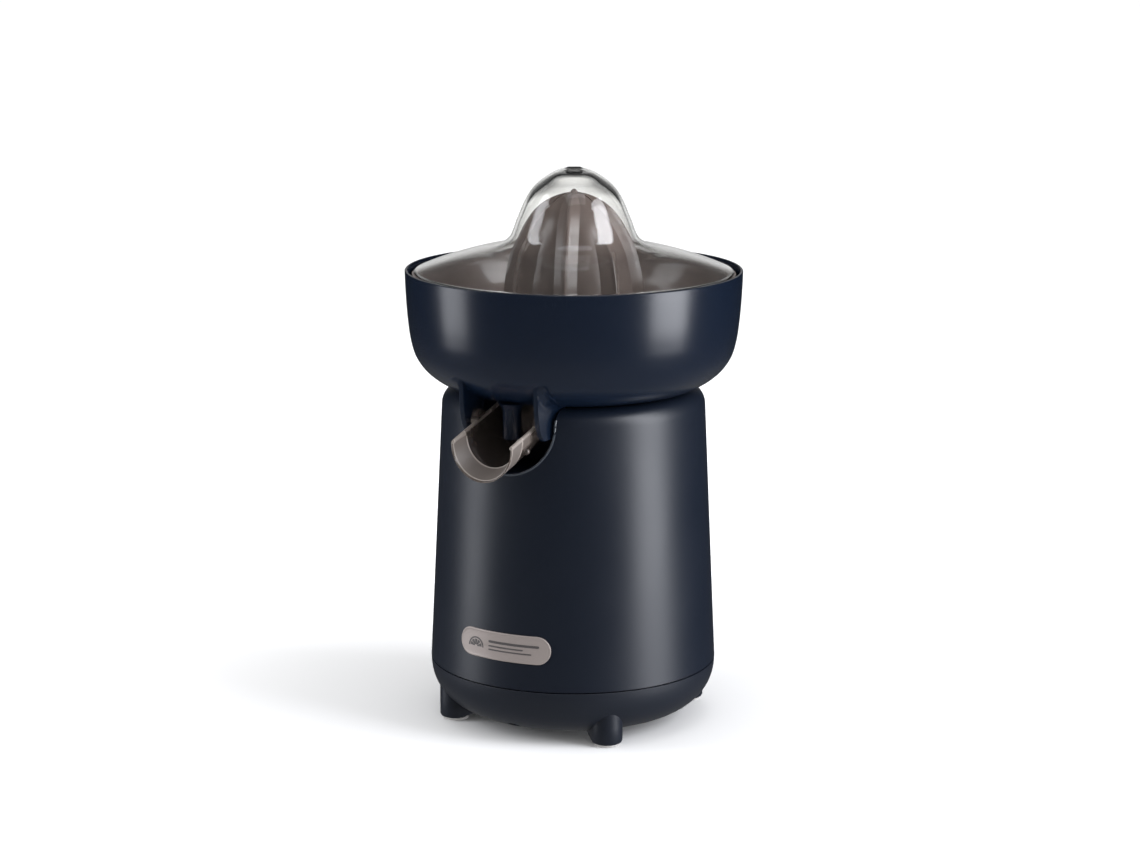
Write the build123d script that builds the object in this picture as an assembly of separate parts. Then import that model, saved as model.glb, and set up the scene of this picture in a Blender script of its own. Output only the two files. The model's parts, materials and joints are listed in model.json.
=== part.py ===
import math
import os

from build123d import *

# Citrus press juicer. Millimetres, +Z up. The origin is on the axis of the cone, in the plane that the
# feet stand on. The spout faces -Y, the cord inlet +Y.

# Heights of the main levels
pad_height = 1.2
base_bottom_z = 3.4
seam_z = 30.3
deck_z = 172.6
bowl_floor_z = 172.9
bowl_rim_z = 232.8
cone_foot_z = 212.0
cone_tip_z = 272.6
cover_top_z = 284.9

# Body and base
body_foot_radius = 73.9
body_top_radius = 67.6
shoulder_radius = 9.0
shell_wall = 2.5
seam_gap = 0.4
base_belly_width = 31.0
base_belly_power = 0.9

# Legs and pads
leg_centre_radius = 63.2
leg_radius = 8.0
leg_top_z = 20.0
pad_radius = 6.5
leg_angles = (45, 135, 225, 315)

# Pocket for the spout
pocket_half_width = 24.6
pocket_round_z = 163.6
pocket_back_y = -33.0
pocket_wall = 2.0

# Tower round the spindle
tower_radius = 8.5
tower_top_z = 204.0
tower_bottom_z = 158.0
tower_bore_radius = 5.0
bush_seat_radius = 6.0
bush_bottom_z = 189.0
bush_top_z = 200.0

# Collector bowl
bowl_rim_radius = 86.0
bowl_rim_wall = 1.5
bowl_wall = 2.2
chimney_inner_radius = 9.3
chimney_radius = 11.2
chimney_shoulder_radius = 13.4
chimney_shoulder_z = 203.8
chimney_top_z = 210.0
ear_inner_x = 20.0
ear_outer_x = 22.5
outlet_y = -62.0
outlet_radius = 4.5
outlet_bore_radius = 3.0
outlet_bottom_z = 156.0

# Spout
spout_pivot_y = -65.0
spout_pivot_z = 166.5
spout_pin_radius = 2.0
spout_pin_hole_radius = 2.06
spout_half_width = 17.2
spout_wall = 1.6
spout_slope = 15.0
spout_lip_y = -91.8
spout_lip_top_z = 158.0
spout_lip_bottom_z = 139.4
spout_length = 52.0
bead_radius = 1.7

# Strainer
strainer_rim_radius = 82.4
strainer_rim_z = 231.0
strainer_floor_z = 204.2
strainer_wall = 1.6
strainer_hub_inner_radius = 11.6
strainer_hub_radius = 13.6
strainer_hub_top_z = 213.8
strainer_slots = 36

# Dust cover
cover_edge_radius = 81.4
cover_edge_z = 230.0
cover_wall = 2.0

# Cone and its drive
cone_foot_radius = 36.5
cone_wall = 2.2
cone_ribs = 8
dog_flats = 7.0
sleeve_flats = 13.0
slide_clearance = 0.06
press_travel = 3.0
spindle_radius = 3.0
spindle_bottom_z = 87.0
spindle_top_z = 234.0
dog_bottom_z = 206.0

# Gear train: rotor pinion to compound gear to output gear
gear_module = 1.0
pressure_angle = 25.0
addendum = 0.8
dedendum = 1.05
backlash = 0.2
pinion_teeth = 10
compound_large_teeth = 50
compound_small_teeth = 12
output_teeth = 60
compound_x = gear_module * (output_teeth + compound_small_teeth) / 2
rotor_x = 12.0
rotor_y = 18.0
stage_one_z = 95.0
stage_one_height = 8.0
stage_two_z = 106.0
stage_two_height = 10.0
gear_pin_radius = 2.5

# Gearbox
gearbox_floor_z = 91.0
gearbox_floor = 2.5
gearbox_top_z = 120.0
gearbox_wall = 2.0
gearbox_output_radius = 32.5
gearbox_compound_radius = 27.5
hub_radius = 6.0
hub_hole_radius = 6.06
cover_plate_radius = 56.0
cover_plate = 2.5
spring_low_z = gearbox_top_z + cover_plate + 0.7
clip_z = 136.5
post_offset = 35.0
post_radius = 4.0

# Motor
rotor_radius = 15.0
rotor_bore_radius = 15.6
stack_bottom_z = 44.0
stack_top_z = 64.0
motor_shaft_radius = 2.0
frame_half_width = 22.0
frame_back_y = 38.0
frame_front_y = -32.0
motor_bolt_x = 18.0
motor_bolt_radius = 1.5

# Switch under the spindle
lever_pivot_x = -13.5
lever_pivot_z = 82.0

# Screws of the casing
casing_screw_radius = 60.0
casing_screw_angles = (0, 90, 180, 270)

# Cord inlet
inlet_z = 19.0
inlet_bore_radius = 3.6
inlet_hole_radius = 6.0
inlet_inner_y = 64.5
inlet_flange_y = 73.9
inlet_outer_y = 75.8

# Badge on the body front
badge_centre_z = 51.6
badge_height = 14.3
badge_width = 52.8
badge_proud = 0.7


def lathe(*edges):
    # Solid of revolution about Z from a closed outline of edges drawn as (radius, height).
    return revolve(Plane.XZ * make_face(Curve() + list(edges)), Axis.Z)


def lathe_points(points):
    return revolve(Plane.XZ * make_face(Polyline(*points, close=True)), Axis.Z)


def ring(outer, inner, low, high):
    solid = Pos(0, 0, low) * extrude(Circle(outer), high - low)
    return solid - Pos(0, 0, low - 1) * extrude(Circle(inner), high - low + 2)


def rod(radius, low, high, x=0.0, y=0.0):
    return Pos(x, y, low) * extrude(Circle(radius), high - low)


def block(low, high):
    size = [high[i] - low[i] for i in range(3)]
    middle = [(high[i] + low[i]) / 2 for i in range(3)]
    return Pos(*middle) * Box(*size)


def hexagon(flats, low, high):
    return Pos(0, 0, low) * extrude(RegularPolygon(flats / 2, 6, major_radius=False), high - low)


def cross_rod(radius, low_x, high_x, y, z):
    # A rod along X.
    return Pos(low_x, y, z) * Rot(0, 90, 0) * extrude(Circle(radius), high_x - low_x)


def turned(shape, angle):
    return Rot(0, 0, angle) * shape


# Outer radius of the body shell at a height below its shoulder.
def body_radius(z):
    share = (z - seam_z) / (deck_z - shoulder_radius - seam_z)
    return body_foot_radius + (body_top_radius - body_foot_radius) * share


# A point on the rounded outside of the base shell, from its seam (0 degrees) to its bottom (90).
def base_point(angle, inset=0.0):
    across = math.cos(math.radians(angle)) ** base_belly_power
    down = math.sin(math.radians(angle)) ** base_belly_power
    width = base_belly_width - inset
    depth = seam_z - base_bottom_z - inset
    middle = body_foot_radius - base_belly_width
    return (middle + width * across, seam_z - depth * down)


def base_outline(inset):
    angles = (0, 12, 28, 45, 62, 78, 90)
    return Spline(*[base_point(a, inset) for a in angles], tangents=((0, -1), (-1, 0)))


def leg_at(angle):
    # Upright boss with a flat web that runs inward under the belly, its lower edge rising to the middle.
    boss = Pos(leg_centre_radius, 0, pad_height) * extrude(Circle(leg_radius), leg_top_z - pad_height)
    boss = fillet(boss.edges().sort_by(Axis.Z)[0], 1.2)
    side = Plane.XZ * make_face(
        Polyline((44, 6.4), (leg_centre_radius, pad_height + 1.4), (leg_centre_radius, leg_top_z), (44, 16),
                 close=True)
    )
    web = Pos(0, leg_radius - 1, 0) * extrude(side, 2 * leg_radius - 2)
    return turned(boss + web, angle)


def base_shell():
    outer_floor = body_foot_radius - base_belly_width
    skin = lathe(
        base_outline(0),
        Line((outer_floor, base_bottom_z), (0, base_bottom_z)),
        Line((0, base_bottom_z), (0, seam_z)),
        Line((0, seam_z), (body_foot_radius, seam_z)),
    )
    hollow = lathe(
        base_outline(shell_wall),
        Line((outer_floor, base_bottom_z + shell_wall), (0, base_bottom_z + shell_wall)),
        Line((0, base_bottom_z + shell_wall), (0, seam_z)),
        Line((0, seam_z), (body_foot_radius - shell_wall, seam_z)),
    )
    inner_space = lathe(
        base_outline(1.0),
        Line((outer_floor, base_bottom_z + 1), (0, base_bottom_z + 1)),
        Line((0, base_bottom_z + 1), (0, seam_z)),
        Line((0, seam_z), (body_foot_radius - 1.0, seam_z)),
    )
    shell = skin
    for angle in leg_angles:
        shell += leg_at(angle) - inner_space
    shell -= hollow
    for angle in casing_screw_angles:
        post = turned(rod(5.0, base_bottom_z + 3.2, seam_z - 0.6, casing_screw_radius), angle) & skin
        well = turned(rod(3.4, 0, 12.0, casing_screw_radius), angle)
        hole = turned(rod(1.8, 0, seam_z + 1, casing_screw_radius), angle)
        shell = shell + post - well - hole
    for slot_x in range(-24, 25, 8):
        shell -= block((slot_x - 1.5, -20, 0), (slot_x + 1.5, 20, 8))
    inlet_hole = Pos(0, 80, inlet_z) * Rot(90, 0, 0) * extrude(Circle(inlet_hole_radius), 20)
    return shell - inlet_hole


def foot_pad(angle):
    pad = Pos(leg_centre_radius, 0, 0) * extrude(Circle(pad_radius), pad_height)
    return turned(pad, angle)


# Solid in the shape of the spout pocket: a U seen from the front, with straight sides above its round.
def pocket_solid(half_width, back_y, front_y, top_z):
    sides = Pos(0, (top_z - pocket_round_z) / 2) * Rectangle(2 * half_width, top_z - pocket_round_z)
    upright = Rot(90, 0, 0) * extrude(Circle(half_width) + sides, back_y - front_y)
    return Pos(0, back_y, pocket_round_z) * upright


def body_solid(inset, low, high):
    foot = body_radius(low) - inset
    top = body_top_radius - inset
    bend = shoulder_radius - inset
    return lathe(
        Line((0, low), (foot, low)),
        Line((foot, low), (top, high - bend)),
        RadiusArc((top, high - bend), (top - bend, high), -bend),
        Line((top - bend, high), (0, high)),
        Line((0, high), (0, low)),
    )


def body_shell():
    low = seam_z + seam_gap
    skin = body_solid(0, low, deck_z)
    hollow = body_solid(shell_wall, low - 1, deck_z - shell_wall)
    pocket_lining = pocket_solid(
        pocket_half_width + pocket_wall, pocket_back_y + pocket_wall, -80, deck_z) & skin
    shell = skin - hollow + pocket_lining
    shell -= pocket_solid(pocket_half_width, pocket_back_y, -80, deck_z + 5)
    shell += rod(tower_radius, tower_bottom_z, tower_top_z)
    shell -= rod(tower_bore_radius, tower_bottom_z - 1, tower_top_z + 1)
    shell -= rod(bush_seat_radius, bush_bottom_z, tower_top_z + 1)
    for x in (-post_offset, post_offset):
        for y in (-post_offset, post_offset):
            shell += rod(post_radius, gearbox_top_z + cover_plate, deck_z - 1, x, y)
            shell -= rod(1.3, gearbox_top_z, gearbox_top_z + 20, x, y)
    for angle in casing_screw_angles:
        boss = turned(rod(5.0, low, low + 30, casing_screw_radius), angle)
        rib = turned(block((casing_screw_radius, -1.2, low), (72, 1.2, low + 30)), angle) & skin
        pilot = turned(rod(1.3, 0, low + 24, casing_screw_radius), angle)
        shell = shell + boss + rib - pilot
    return shell


# A pan-head screw along Z, its head at the bottom.
def screw(x, y, head_low, tip, shank_radius, head_radius=2.8, head_height=2.2):
    body = rod(head_radius, head_low, head_low + head_height, x, y)
    body += rod(shank_radius, head_low + head_height, tip, x, y)
    recess = block((x - 0.4, y - 1.6, head_low - 1), (x + 0.4, y + 1.6, head_low + 1))
    recess += block((x - 1.6, y - 0.4, head_low - 1), (x + 1.6, y + 0.4, head_low + 1))
    return body - recess


def casing_screws():
    group = []
    for angle in casing_screw_angles:
        x = casing_screw_radius * math.cos(math.radians(angle))
        y = casing_screw_radius * math.sin(math.radians(angle))
        group.append(screw(x, y, 9.8, seam_z + 20, 1.28))
    return Compound(children=group)


def cord_inlet():
    sleeve_length = inlet_outer_y - inlet_inner_y
    along_y = Pos(0, inlet_outer_y, inlet_z) * Rot(90, 0, 0)
    gland = along_y * extrude(Circle(inlet_hole_radius - 0.02), sleeve_length)
    gland += along_y * extrude(Circle(inlet_hole_radius + 1.6), inlet_outer_y - inlet_flange_y)
    return gland - Pos(0, 80, inlet_z) * Rot(90, 0, 0) * extrude(Circle(inlet_bore_radius), 20)


def badge():
    half_arc = badge_width / 2
    flat = Rectangle(badge_width - badge_height, badge_height)
    flat += Pos(-half_arc + badge_height / 2, 0) * Circle(badge_height / 2)
    flat += Pos(half_arc - badge_height / 2, 0) * Circle(badge_height / 2)
    block_forward = Pos(0, -60, badge_centre_z) * Rot(90, 0, 0) * extrude(flat, 20)
    low = seam_z + seam_gap
    return block_forward & (body_solid(-badge_proud, low, deck_z) - body_solid(0, low, deck_z))


# Outside of the bowl from the rim to the flat of its floor.
def bowl_outline(inset, top):
    return Spline(
        (bowl_rim_radius - inset, top),
        (85.2 - inset, 215),
        (83.3 - inset, 198),
        (77.4 - inset * 0.8, 184 + inset * 0.6),
        (67 - inset * 0.3, 175.2 + inset * 0.95),
        (56, bowl_floor_z + inset),
        tangents=((0, -1), (-1, 0)),
    )


def bowl_solid(inset, top):
    floor = bowl_floor_z + inset
    return lathe(
        bowl_outline(inset, top),
        Line((56, floor), (0, floor)),
        Line((0, floor), (0, top)),
        Line((0, top), (bowl_rim_radius - inset, top)),
    )


def ear(inner_x, outer_x):
    side = make_face(Polyline((-56, 159.5), (-59, 158), (-68, 158), (-71, 160), (-76, 186), (-76, 200),
                              (-56, 200), close=True))
    plate = Pos(inner_x, 0, 0) * extrude(Plane.YZ * side, outer_x - inner_x)
    return plate


def collector_bowl():
    outside = bowl_solid(0, bowl_rim_z)
    inside = bowl_solid(bowl_wall, bowl_rim_z + 1)
    upper = bowl_solid(bowl_rim_wall, bowl_rim_z + 1) & block((-90, -90, 222), (90, 90, 240))
    bowl = outside + ear(ear_inner_x, ear_outer_x) + ear(-ear_outer_x, -ear_inner_x)
    bowl += rod(outlet_radius, outlet_bottom_z, 185, 0, outlet_y)
    bowl -= inside
    bowl -= upper
    bowl += rod(chimney_radius, bowl_floor_z, chimney_top_z)
    bowl += rod(chimney_shoulder_radius, bowl_floor_z, chimney_shoulder_z)
    bowl -= rod(chimney_inner_radius, bowl_floor_z - 1, chimney_top_z + 1)
    bowl -= rod(outlet_bore_radius, outlet_bottom_z - 1, 186, 0, outlet_y)
    bowl -= cross_rod(spout_pin_hole_radius, -(ear_outer_x - 1), ear_outer_x - 1, spout_pivot_y, spout_pivot_z)
    return bowl


# Half-round channel, level and pointing to -Y, its lip at Y = 0 and its top edge at Z = 0.
def channel(half_width, depth, length):
    round_part = Circle(half_width) & Pos(0, -half_width) * Rectangle(2 * half_width, 2 * half_width)
    sides = Pos(0, -(depth - half_width) / 2) * Rectangle(2 * half_width, depth - half_width)
    face = Pos(0, -(depth - half_width)) * round_part + sides
    return Rot(90, 0, 0) * Pos(0, 0, -length) * extrude(face, length)


def spout():
    depth = (spout_lip_top_z - spout_lip_bottom_z) * math.cos(math.radians(spout_slope))
    outer = channel(spout_half_width, depth, spout_length)
    inner = Pos(0, -1, 1) * channel(
        spout_half_width - spout_wall, depth - spout_wall + 1, spout_length - spout_wall + 1)
    trough = outer - inner
    placed = Pos(0, spout_lip_y, spout_lip_top_z) * Rot(spout_slope, 0, 0) * trough
    lip_cut = block((-30, -110, 120), (30, spout_lip_y, 180))
    placed -= lip_cut
    lug_inner = spout_half_width - spout_wall
    for side in (-1, 1):
        low = min(side * lug_inner, side * (ear_inner_x - 0.3))
        high = max(side * lug_inner, side * (ear_inner_x - 0.3))
        lug = cross_rod(4.0, low, high, spout_pivot_y, spout_pivot_z - 0.5)
        lug += block((low, spout_pivot_y - 4, spout_pivot_z - 7), (high, spout_pivot_y + 4, spout_pivot_z - 1))
        pin_low = min(side * lug_inner, side * (ear_outer_x - 1.3))
        pin_high = max(side * lug_inner, side * (ear_outer_x - 1.3))
        lug += cross_rod(spout_pin_radius, pin_low, pin_high, spout_pivot_y, spout_pivot_z)
        bead = Pos(side * 15.3, -74, 153.4) * Sphere(bead_radius)
        placed = placed + lug + bead
    return placed


def strainer():
    top = strainer_rim_z
    floor = strainer_floor_z
    wall = strainer_wall
    dish = lathe_points([
        (strainer_hub_inner_radius, floor),
        (56, floor),
        (66, floor + 3),
        (75, floor + 11),
        (80.0, floor + 22),
        (strainer_rim_radius, top - 2.4),
        (strainer_rim_radius, top),
        (strainer_rim_radius - 0.8, top),
        (strainer_rim_radius - 0.8, top - 1.4),
        (80.0 - wall, top - 1.4),
        (80.0 - wall, floor + 22),
        (75 - wall, floor + 11.9),
        (65.4, floor + 3 + wall),
        (56, floor + wall),
        (strainer_hub_radius, floor + wall),
        (strainer_hub_radius, strainer_hub_top_z),
        (strainer_hub_inner_radius, strainer_hub_top_z),
    ])
    slot = block((39.5, -0.8, floor - 1), (54, 0.8, floor + 4))
    cutters = [turned(slot, 360 / strainer_slots * i) for i in range(strainer_slots)]
    return dish - cutters


# Outline of the clear cover, from its top to its edge; the inset gives the inner face.
def cover_outline(inset):
    return [
        Spline((0, cover_top_z - inset), (9.4, 283 - inset), (21.9 - 0.8 * inset, 272.9 - 0.6 * inset),
               (29.2 - inset, 257.6), (33.4 - inset, 248.2 - 0.4 * inset), (42, 244.1 - inset),
               (57.6, 240.3 - inset), (cover_edge_radius, 232.2 - inset), tangents=((1, 0), (3, -1))),
    ]


def dust_cover():
    top = cover_outline(0)
    under = cover_outline(cover_wall)
    clear = lathe(
        *top,
        Line((cover_edge_radius, 232.2), (cover_edge_radius, 232.2 - cover_wall)),
        *under,
        Line((0, cover_top_z - cover_wall), (0, cover_top_z)),
    )
    return clear


def drive_sleeve():
    sleeve_top = spindle_top_z - press_travel - 0.2
    sleeve = hexagon(sleeve_flats, strainer_hub_top_z + 0.3, sleeve_top)
    sleeve += rod(strainer_hub_radius - 0.4, strainer_hub_top_z + 0.3, strainer_hub_top_z + 2.1)
    return sleeve - hexagon(dog_flats + 2 * slide_clearance, 210, 240)


# Outside of the cone at its ribs, (radius, height), from the foot to the tip.
cone_profile = (
    (cone_foot_radius, cone_foot_z),
    (35.9, 221.5),
    (32.3, 241.4),
    (29.1, 248.7),
    (24.5, 256.5),
    (19.3, 263.2),
    (11.5, 269.4),
    (0, cone_tip_z),
)


def cone_blank(shrink, foot):
    points = [(r * shrink, foot + (z - cone_foot_z) * (cone_tip_z - foot - (1 - shrink) * 18)
               / (cone_tip_z - cone_foot_z)) for r, z in cone_profile]
    outline = Spline(*points, tangents=((0, 1), (-3, 1)))
    tip = points[-1]
    return lathe(outline, Line(tip, (0, foot)), Line((0, foot), points[0]))


def cone():
    ribs_solid = cone_blank(1.0, cone_foot_z)
    body = cone_blank(0.88, cone_foot_z)
    for i in range(cone_ribs):
        plate = block((0, -1.3, cone_foot_z), (40, 1.3, cone_tip_z + 1))
        body += turned(plate, 21.3 - 90 + 360 / cone_ribs * i) & ribs_solid
    body += rod(cone_foot_radius, cone_foot_z, cone_foot_z + 2)
    body -= cone_blank(0.88 - cone_wall / cone_foot_radius, cone_foot_z - 0.01)
    socket_low = strainer_hub_top_z + 2.1 + press_travel + 0.6
    body += rod(9.6, socket_low, spindle_top_z + 3) - hexagon(
        sleeve_flats + 2 * slide_clearance, socket_low - 1, spindle_top_z + 0.2)
    for angle in (0, 90):
        web = turned(block((-30, -0.9, 228), (30, 0.9, spindle_top_z + 3)), angle)
        web -= rod(9.0, 220, spindle_top_z + 1)
        body += web & cone_blank(0.85, cone_foot_z)
    return body


def involute(angle):
    return math.tan(angle) - angle


# Outline of a spur gear with a tooth centred on the direction given in degrees.
def gear_face(teeth, direction):
    alpha = math.radians(pressure_angle)
    pitch = gear_module * teeth / 2
    base = pitch * math.cos(alpha)
    tip = pitch + addendum * gear_module
    root = pitch - dedendum * gear_module
    half_at_pitch = math.pi / (2 * teeth) - backlash / (4 * pitch)
    start = max(base, root)
    radii = [root] + [start + (tip - start) * step / 3 for step in range(4)]
    halves = []
    for r in radii:
        at = math.acos(min(1.0, base / r)) if r > base else 0.0
        halves.append(half_at_pitch + involute(alpha) - involute(at))
    points = []
    for i in range(teeth):
        middle = math.radians(direction) + 2 * math.pi * i / teeth
        for r, half in zip(radii, halves):
            points.append((r * math.cos(middle - half), r * math.sin(middle - half)))
        for r, half in zip(reversed(radii), reversed(halves)):
            points.append((r * math.cos(middle + half), r * math.sin(middle + half)))
    unique = [p for i, p in enumerate(points) if math.dist(p, points[i - 1]) > 1e-4]
    return make_face(Polyline(*unique, close=True))


def gear(teeth, direction, low, height):
    return Pos(0, 0, low) * extrude(gear_face(teeth, direction), height)


# Direction in the plan from the rotor to the compound gear.
rotor_to_compound = math.degrees(math.atan2(-rotor_y, compound_x - rotor_x))


def motor_pinion():
    half_pitch = 180 / pinion_teeth
    teeth = gear(pinion_teeth, rotor_to_compound + half_pitch, stage_one_z, stage_one_height)
    return Pos(rotor_x, rotor_y, 0) * (teeth - rod(motor_shaft_radius, 80, 120))


def compound_gear():
    large = gear(compound_large_teeth, rotor_to_compound + 180, stage_one_z, stage_one_height)
    small = gear(compound_small_teeth, 180, stage_one_z + stage_one_height, 13.6)
    hub = ring(22.0, 8.0, stage_one_z + 2.5, stage_one_z + stage_one_height + 1)
    whole = large - hub - Pos(0, 0, stage_one_z + stage_one_height - 2.5) * extrude(Circle(22) - Circle(8), 3)
    whole += rod(8.0, stage_one_z - 1.0, stage_one_z + stage_one_height)
    whole += small
    return Pos(compound_x, 0, 0) * (whole - rod(gear_pin_radius + 0.05, 80, 130))


def gear_pin():
    return rod(gear_pin_radius, gearbox_floor_z + 0.5, gearbox_top_z + cover_plate - 0.5, compound_x, 0)


def spindle_bore(clearance, low, high):
    # Round bore with two flats, which turns the spindle and lets it slide.
    bore = rod(spindle_radius + clearance, low, high)
    flat = spindle_radius * 0.8 + clearance
    return bore & block((-flat, -10, low), (flat, 10, high))


def output_gear():
    half_pitch = 180 / output_teeth
    wheel = gear(output_teeth, half_pitch, stage_two_z, stage_two_height)
    dish = extrude(Circle(27) - Circle(9.5), 3.5)
    wheel -= Pos(0, 0, stage_two_z - 1) * dish
    wheel -= Pos(0, 0, stage_two_z + stage_two_height - 2.5) * dish
    wheel += rod(hub_radius, gearbox_floor_z - 0.5, gearbox_top_z + cover_plate + 0.7)
    wheel += rod(9.5, gearbox_floor_z + gearbox_floor + 0.3, gearbox_top_z - 0.3)
    return wheel - spindle_bore(slide_clearance, 80, 130)


def spindle():
    shaft = rod(spindle_radius, spindle_bottom_z, dog_bottom_z)
    shaft = chamfer(shaft.edges().sort_by(Axis.Z)[0], 2.0, 2.0)
    flat = spindle_radius * 0.8
    shaft -= block((flat, -5, 80), (5, 5, 128)) + block((-5, -5, 80), (-flat, 5, 128))
    shaft -= rod(10, clip_z, clip_z + 1.0) - rod(spindle_radius - 0.6, clip_z, clip_z + 1.0)
    dog = hexagon(dog_flats, dog_bottom_z, spindle_top_z)
    return shaft + dog


def spindle_clip():
    clip = ring(6.2, spindle_radius - 0.6, clip_z, clip_z + 1.0)
    return clip - block((-1.6, 0, clip_z - 1), (1.6, 10, clip_z + 2))


def return_spring():
    return ring(5.6, 4.2, spring_low_z, clip_z)


def spindle_bush():
    return ring(bush_seat_radius - 0.02, spindle_radius + 0.05, bush_bottom_z, bush_top_z)


def shaft_seal():
    lip = ring(bush_seat_radius - 0.02, spindle_radius + 1.2, bush_top_z, tower_top_z - 0.4)
    return lip + ring(spindle_radius + 1.3, spindle_radius + 0.08, bush_top_z + 0.8, bush_top_z + 2.2)


def gearbox_plan(margin):
    plan = Circle(gearbox_output_radius + margin)
    plan += Pos(compound_x, 0) * Circle(gearbox_compound_radius + margin)
    return plan


def gearbox_housing():
    low = gearbox_floor_z
    cup = Pos(0, 0, low) * extrude(gearbox_plan(gearbox_wall), gearbox_top_z - low)
    cup -= Pos(0, 0, low + gearbox_floor) * extrude(gearbox_plan(0), gearbox_top_z - low)
    for side in (-1, 1):
        cup += rod(post_radius, stack_top_z + 6, low + 1, rotor_x + side * motor_bolt_x, rotor_y)
        cup -= rod(1.3, stack_top_z, low - 2, rotor_x + side * motor_bolt_x, rotor_y)
    cup -= rod(hub_hole_radius, low - 1, low + gearbox_floor + 1)
    cup -= rod(3.0, low - 1, low + gearbox_floor + 1, rotor_x, rotor_y)
    cup += rod(5.5, low + 1, low + gearbox_floor, compound_x, 0)
    cup -= rod(gear_pin_radius, low + 0.5, low + gearbox_floor + 1, compound_x, 0)
    return cup


def gearbox_cover():
    plan = Circle(cover_plate_radius) + Pos(compound_x, 0) * Circle(gearbox_compound_radius + gearbox_wall)
    plate = Pos(0, 0, gearbox_top_z) * extrude(plan, cover_plate)
    plate -= rod(hub_hole_radius, gearbox_top_z - 1, gearbox_top_z + 5)
    plate -= rod(gear_pin_radius, gearbox_top_z - 1, gearbox_top_z + cover_plate - 0.5, compound_x, 0)
    for x in (-post_offset, post_offset):
        for y in (-post_offset, post_offset):
            plate -= rod(1.7, gearbox_top_z - 1, gearbox_top_z + 5, x, y)
    return plate


def gearbox_screws():
    group = []
    for x in (-post_offset, post_offset):
        for y in (-post_offset, post_offset):
            group.append(screw(x, y, gearbox_top_z - 2.2, gearbox_top_z + 18, 1.28))
    return Compound(children=group)


def motor_stator():
    left = rotor_x - frame_half_width
    right = rotor_x + frame_half_width
    stack = block((left, frame_front_y, stack_bottom_z), (right, frame_back_y, stack_top_z))
    stack -= rod(rotor_bore_radius, 0, 100, rotor_x, rotor_y)
    stack -= block((left + 8, frame_front_y + 12, 0), (right - 8, frame_front_y + 24, 100))
    for side in (-1, 1):
        stack -= rod(motor_bolt_radius + 0.1, 0, 100, rotor_x + side * motor_bolt_x, rotor_y)
    return stack


def motor_coil():
    left = rotor_x - frame_half_width + 8.4
    right = rotor_x + frame_half_width - 8.4
    winding = block((left, frame_front_y - 5.8, stack_bottom_z - 7), (right, frame_front_y + 17.8,
                                                                      stack_top_z + 7))
    leg = block((left - 1, frame_front_y - 0.1, stack_bottom_z - 0.1), (right + 1, frame_front_y + 12.1,
                                                                        stack_top_z + 0.1))
    return fillet(winding.edges().filter_by(Axis.X), 4) - leg


# Strap over one end of the rotor, with a bearing boss in its middle; it stands on the stack.
def bearing_bracket(face_z, direction):
    foot = face_z
    strap = face_z + direction * 4
    far = strap + direction * 2
    half = motor_bolt_x + 4
    body = block((rotor_x - half, rotor_y - 6, min(strap, far)), (rotor_x + half, rotor_y + 6, max(strap, far)))
    for side in (-1, 1):
        x = rotor_x + side * motor_bolt_x
        body += rod(3.0, min(foot, strap), max(foot, strap), x, rotor_y)
        body -= rod(motor_bolt_radius + 0.1, 0, 100, x, rotor_y)
    tip = far + direction * 3
    body += rod(5.5, min(strap, tip), max(strap, tip), rotor_x, rotor_y)
    return body - rod(motor_shaft_radius + 0.05, 0, 100, rotor_x, rotor_y)


def motor_screws():
    head = stack_bottom_z - 6 - 2.2
    return Compound(children=[
        screw(rotor_x + side * motor_bolt_x, rotor_y, head, gearbox_floor_z - 4, 1.28) for side in (-1, 1)
    ])


def rotor_core():
    core = ring(rotor_radius, motor_shaft_radius, stack_bottom_z - 0.5, stack_top_z + 0.5)
    return Pos(rotor_x, rotor_y, 0) * core


def rotor_shaft():
    return rod(motor_shaft_radius, 33, stage_one_z + stage_one_height + 0.5, rotor_x, rotor_y)


def microswitch():
    case = block((-35, -5, 73), (-17, 5, gearbox_floor_z))
    for side in (-1, 1):
        low_y = min(side * 4.6, side * 6.4)
        ear_plate = block((-18, low_y, lever_pivot_z - 3), (lever_pivot_x + 2.6, low_y + 1.8, 90))
        case += ear_plate
    return case - Pos(lever_pivot_x, 8, lever_pivot_z) * Rot(90, 0, 0) * extrude(Circle(1.06), 16)


def switch_lever():
    barrel = Pos(lever_pivot_x, 4.2, lever_pivot_z) * Rot(90, 0, 0) * extrude(Circle(2.2), 8.4)
    pins = Pos(lever_pivot_x, 6.2, lever_pivot_z) * Rot(90, 0, 0) * extrude(Circle(1.0), 12.4)
    arm = block((lever_pivot_x - 1.6, -3.5, lever_pivot_z + 0.4), (lever_pivot_x + 1.6, 3.5, 86.6))
    arm += block((lever_pivot_x - 1.6, -3.5, 85.0), (4.5, 3.5, 86.6))
    return barrel + pins + arm


def terminal_block():
    floor = base_bottom_z + shell_wall
    case = block((-40, -9, floor), (-27, 9, floor + 11))
    for y in (-4.5, 4.5):
        case -= rod(2.2, floor + 5, floor + 12, -33.5, y)
    return case


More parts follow.
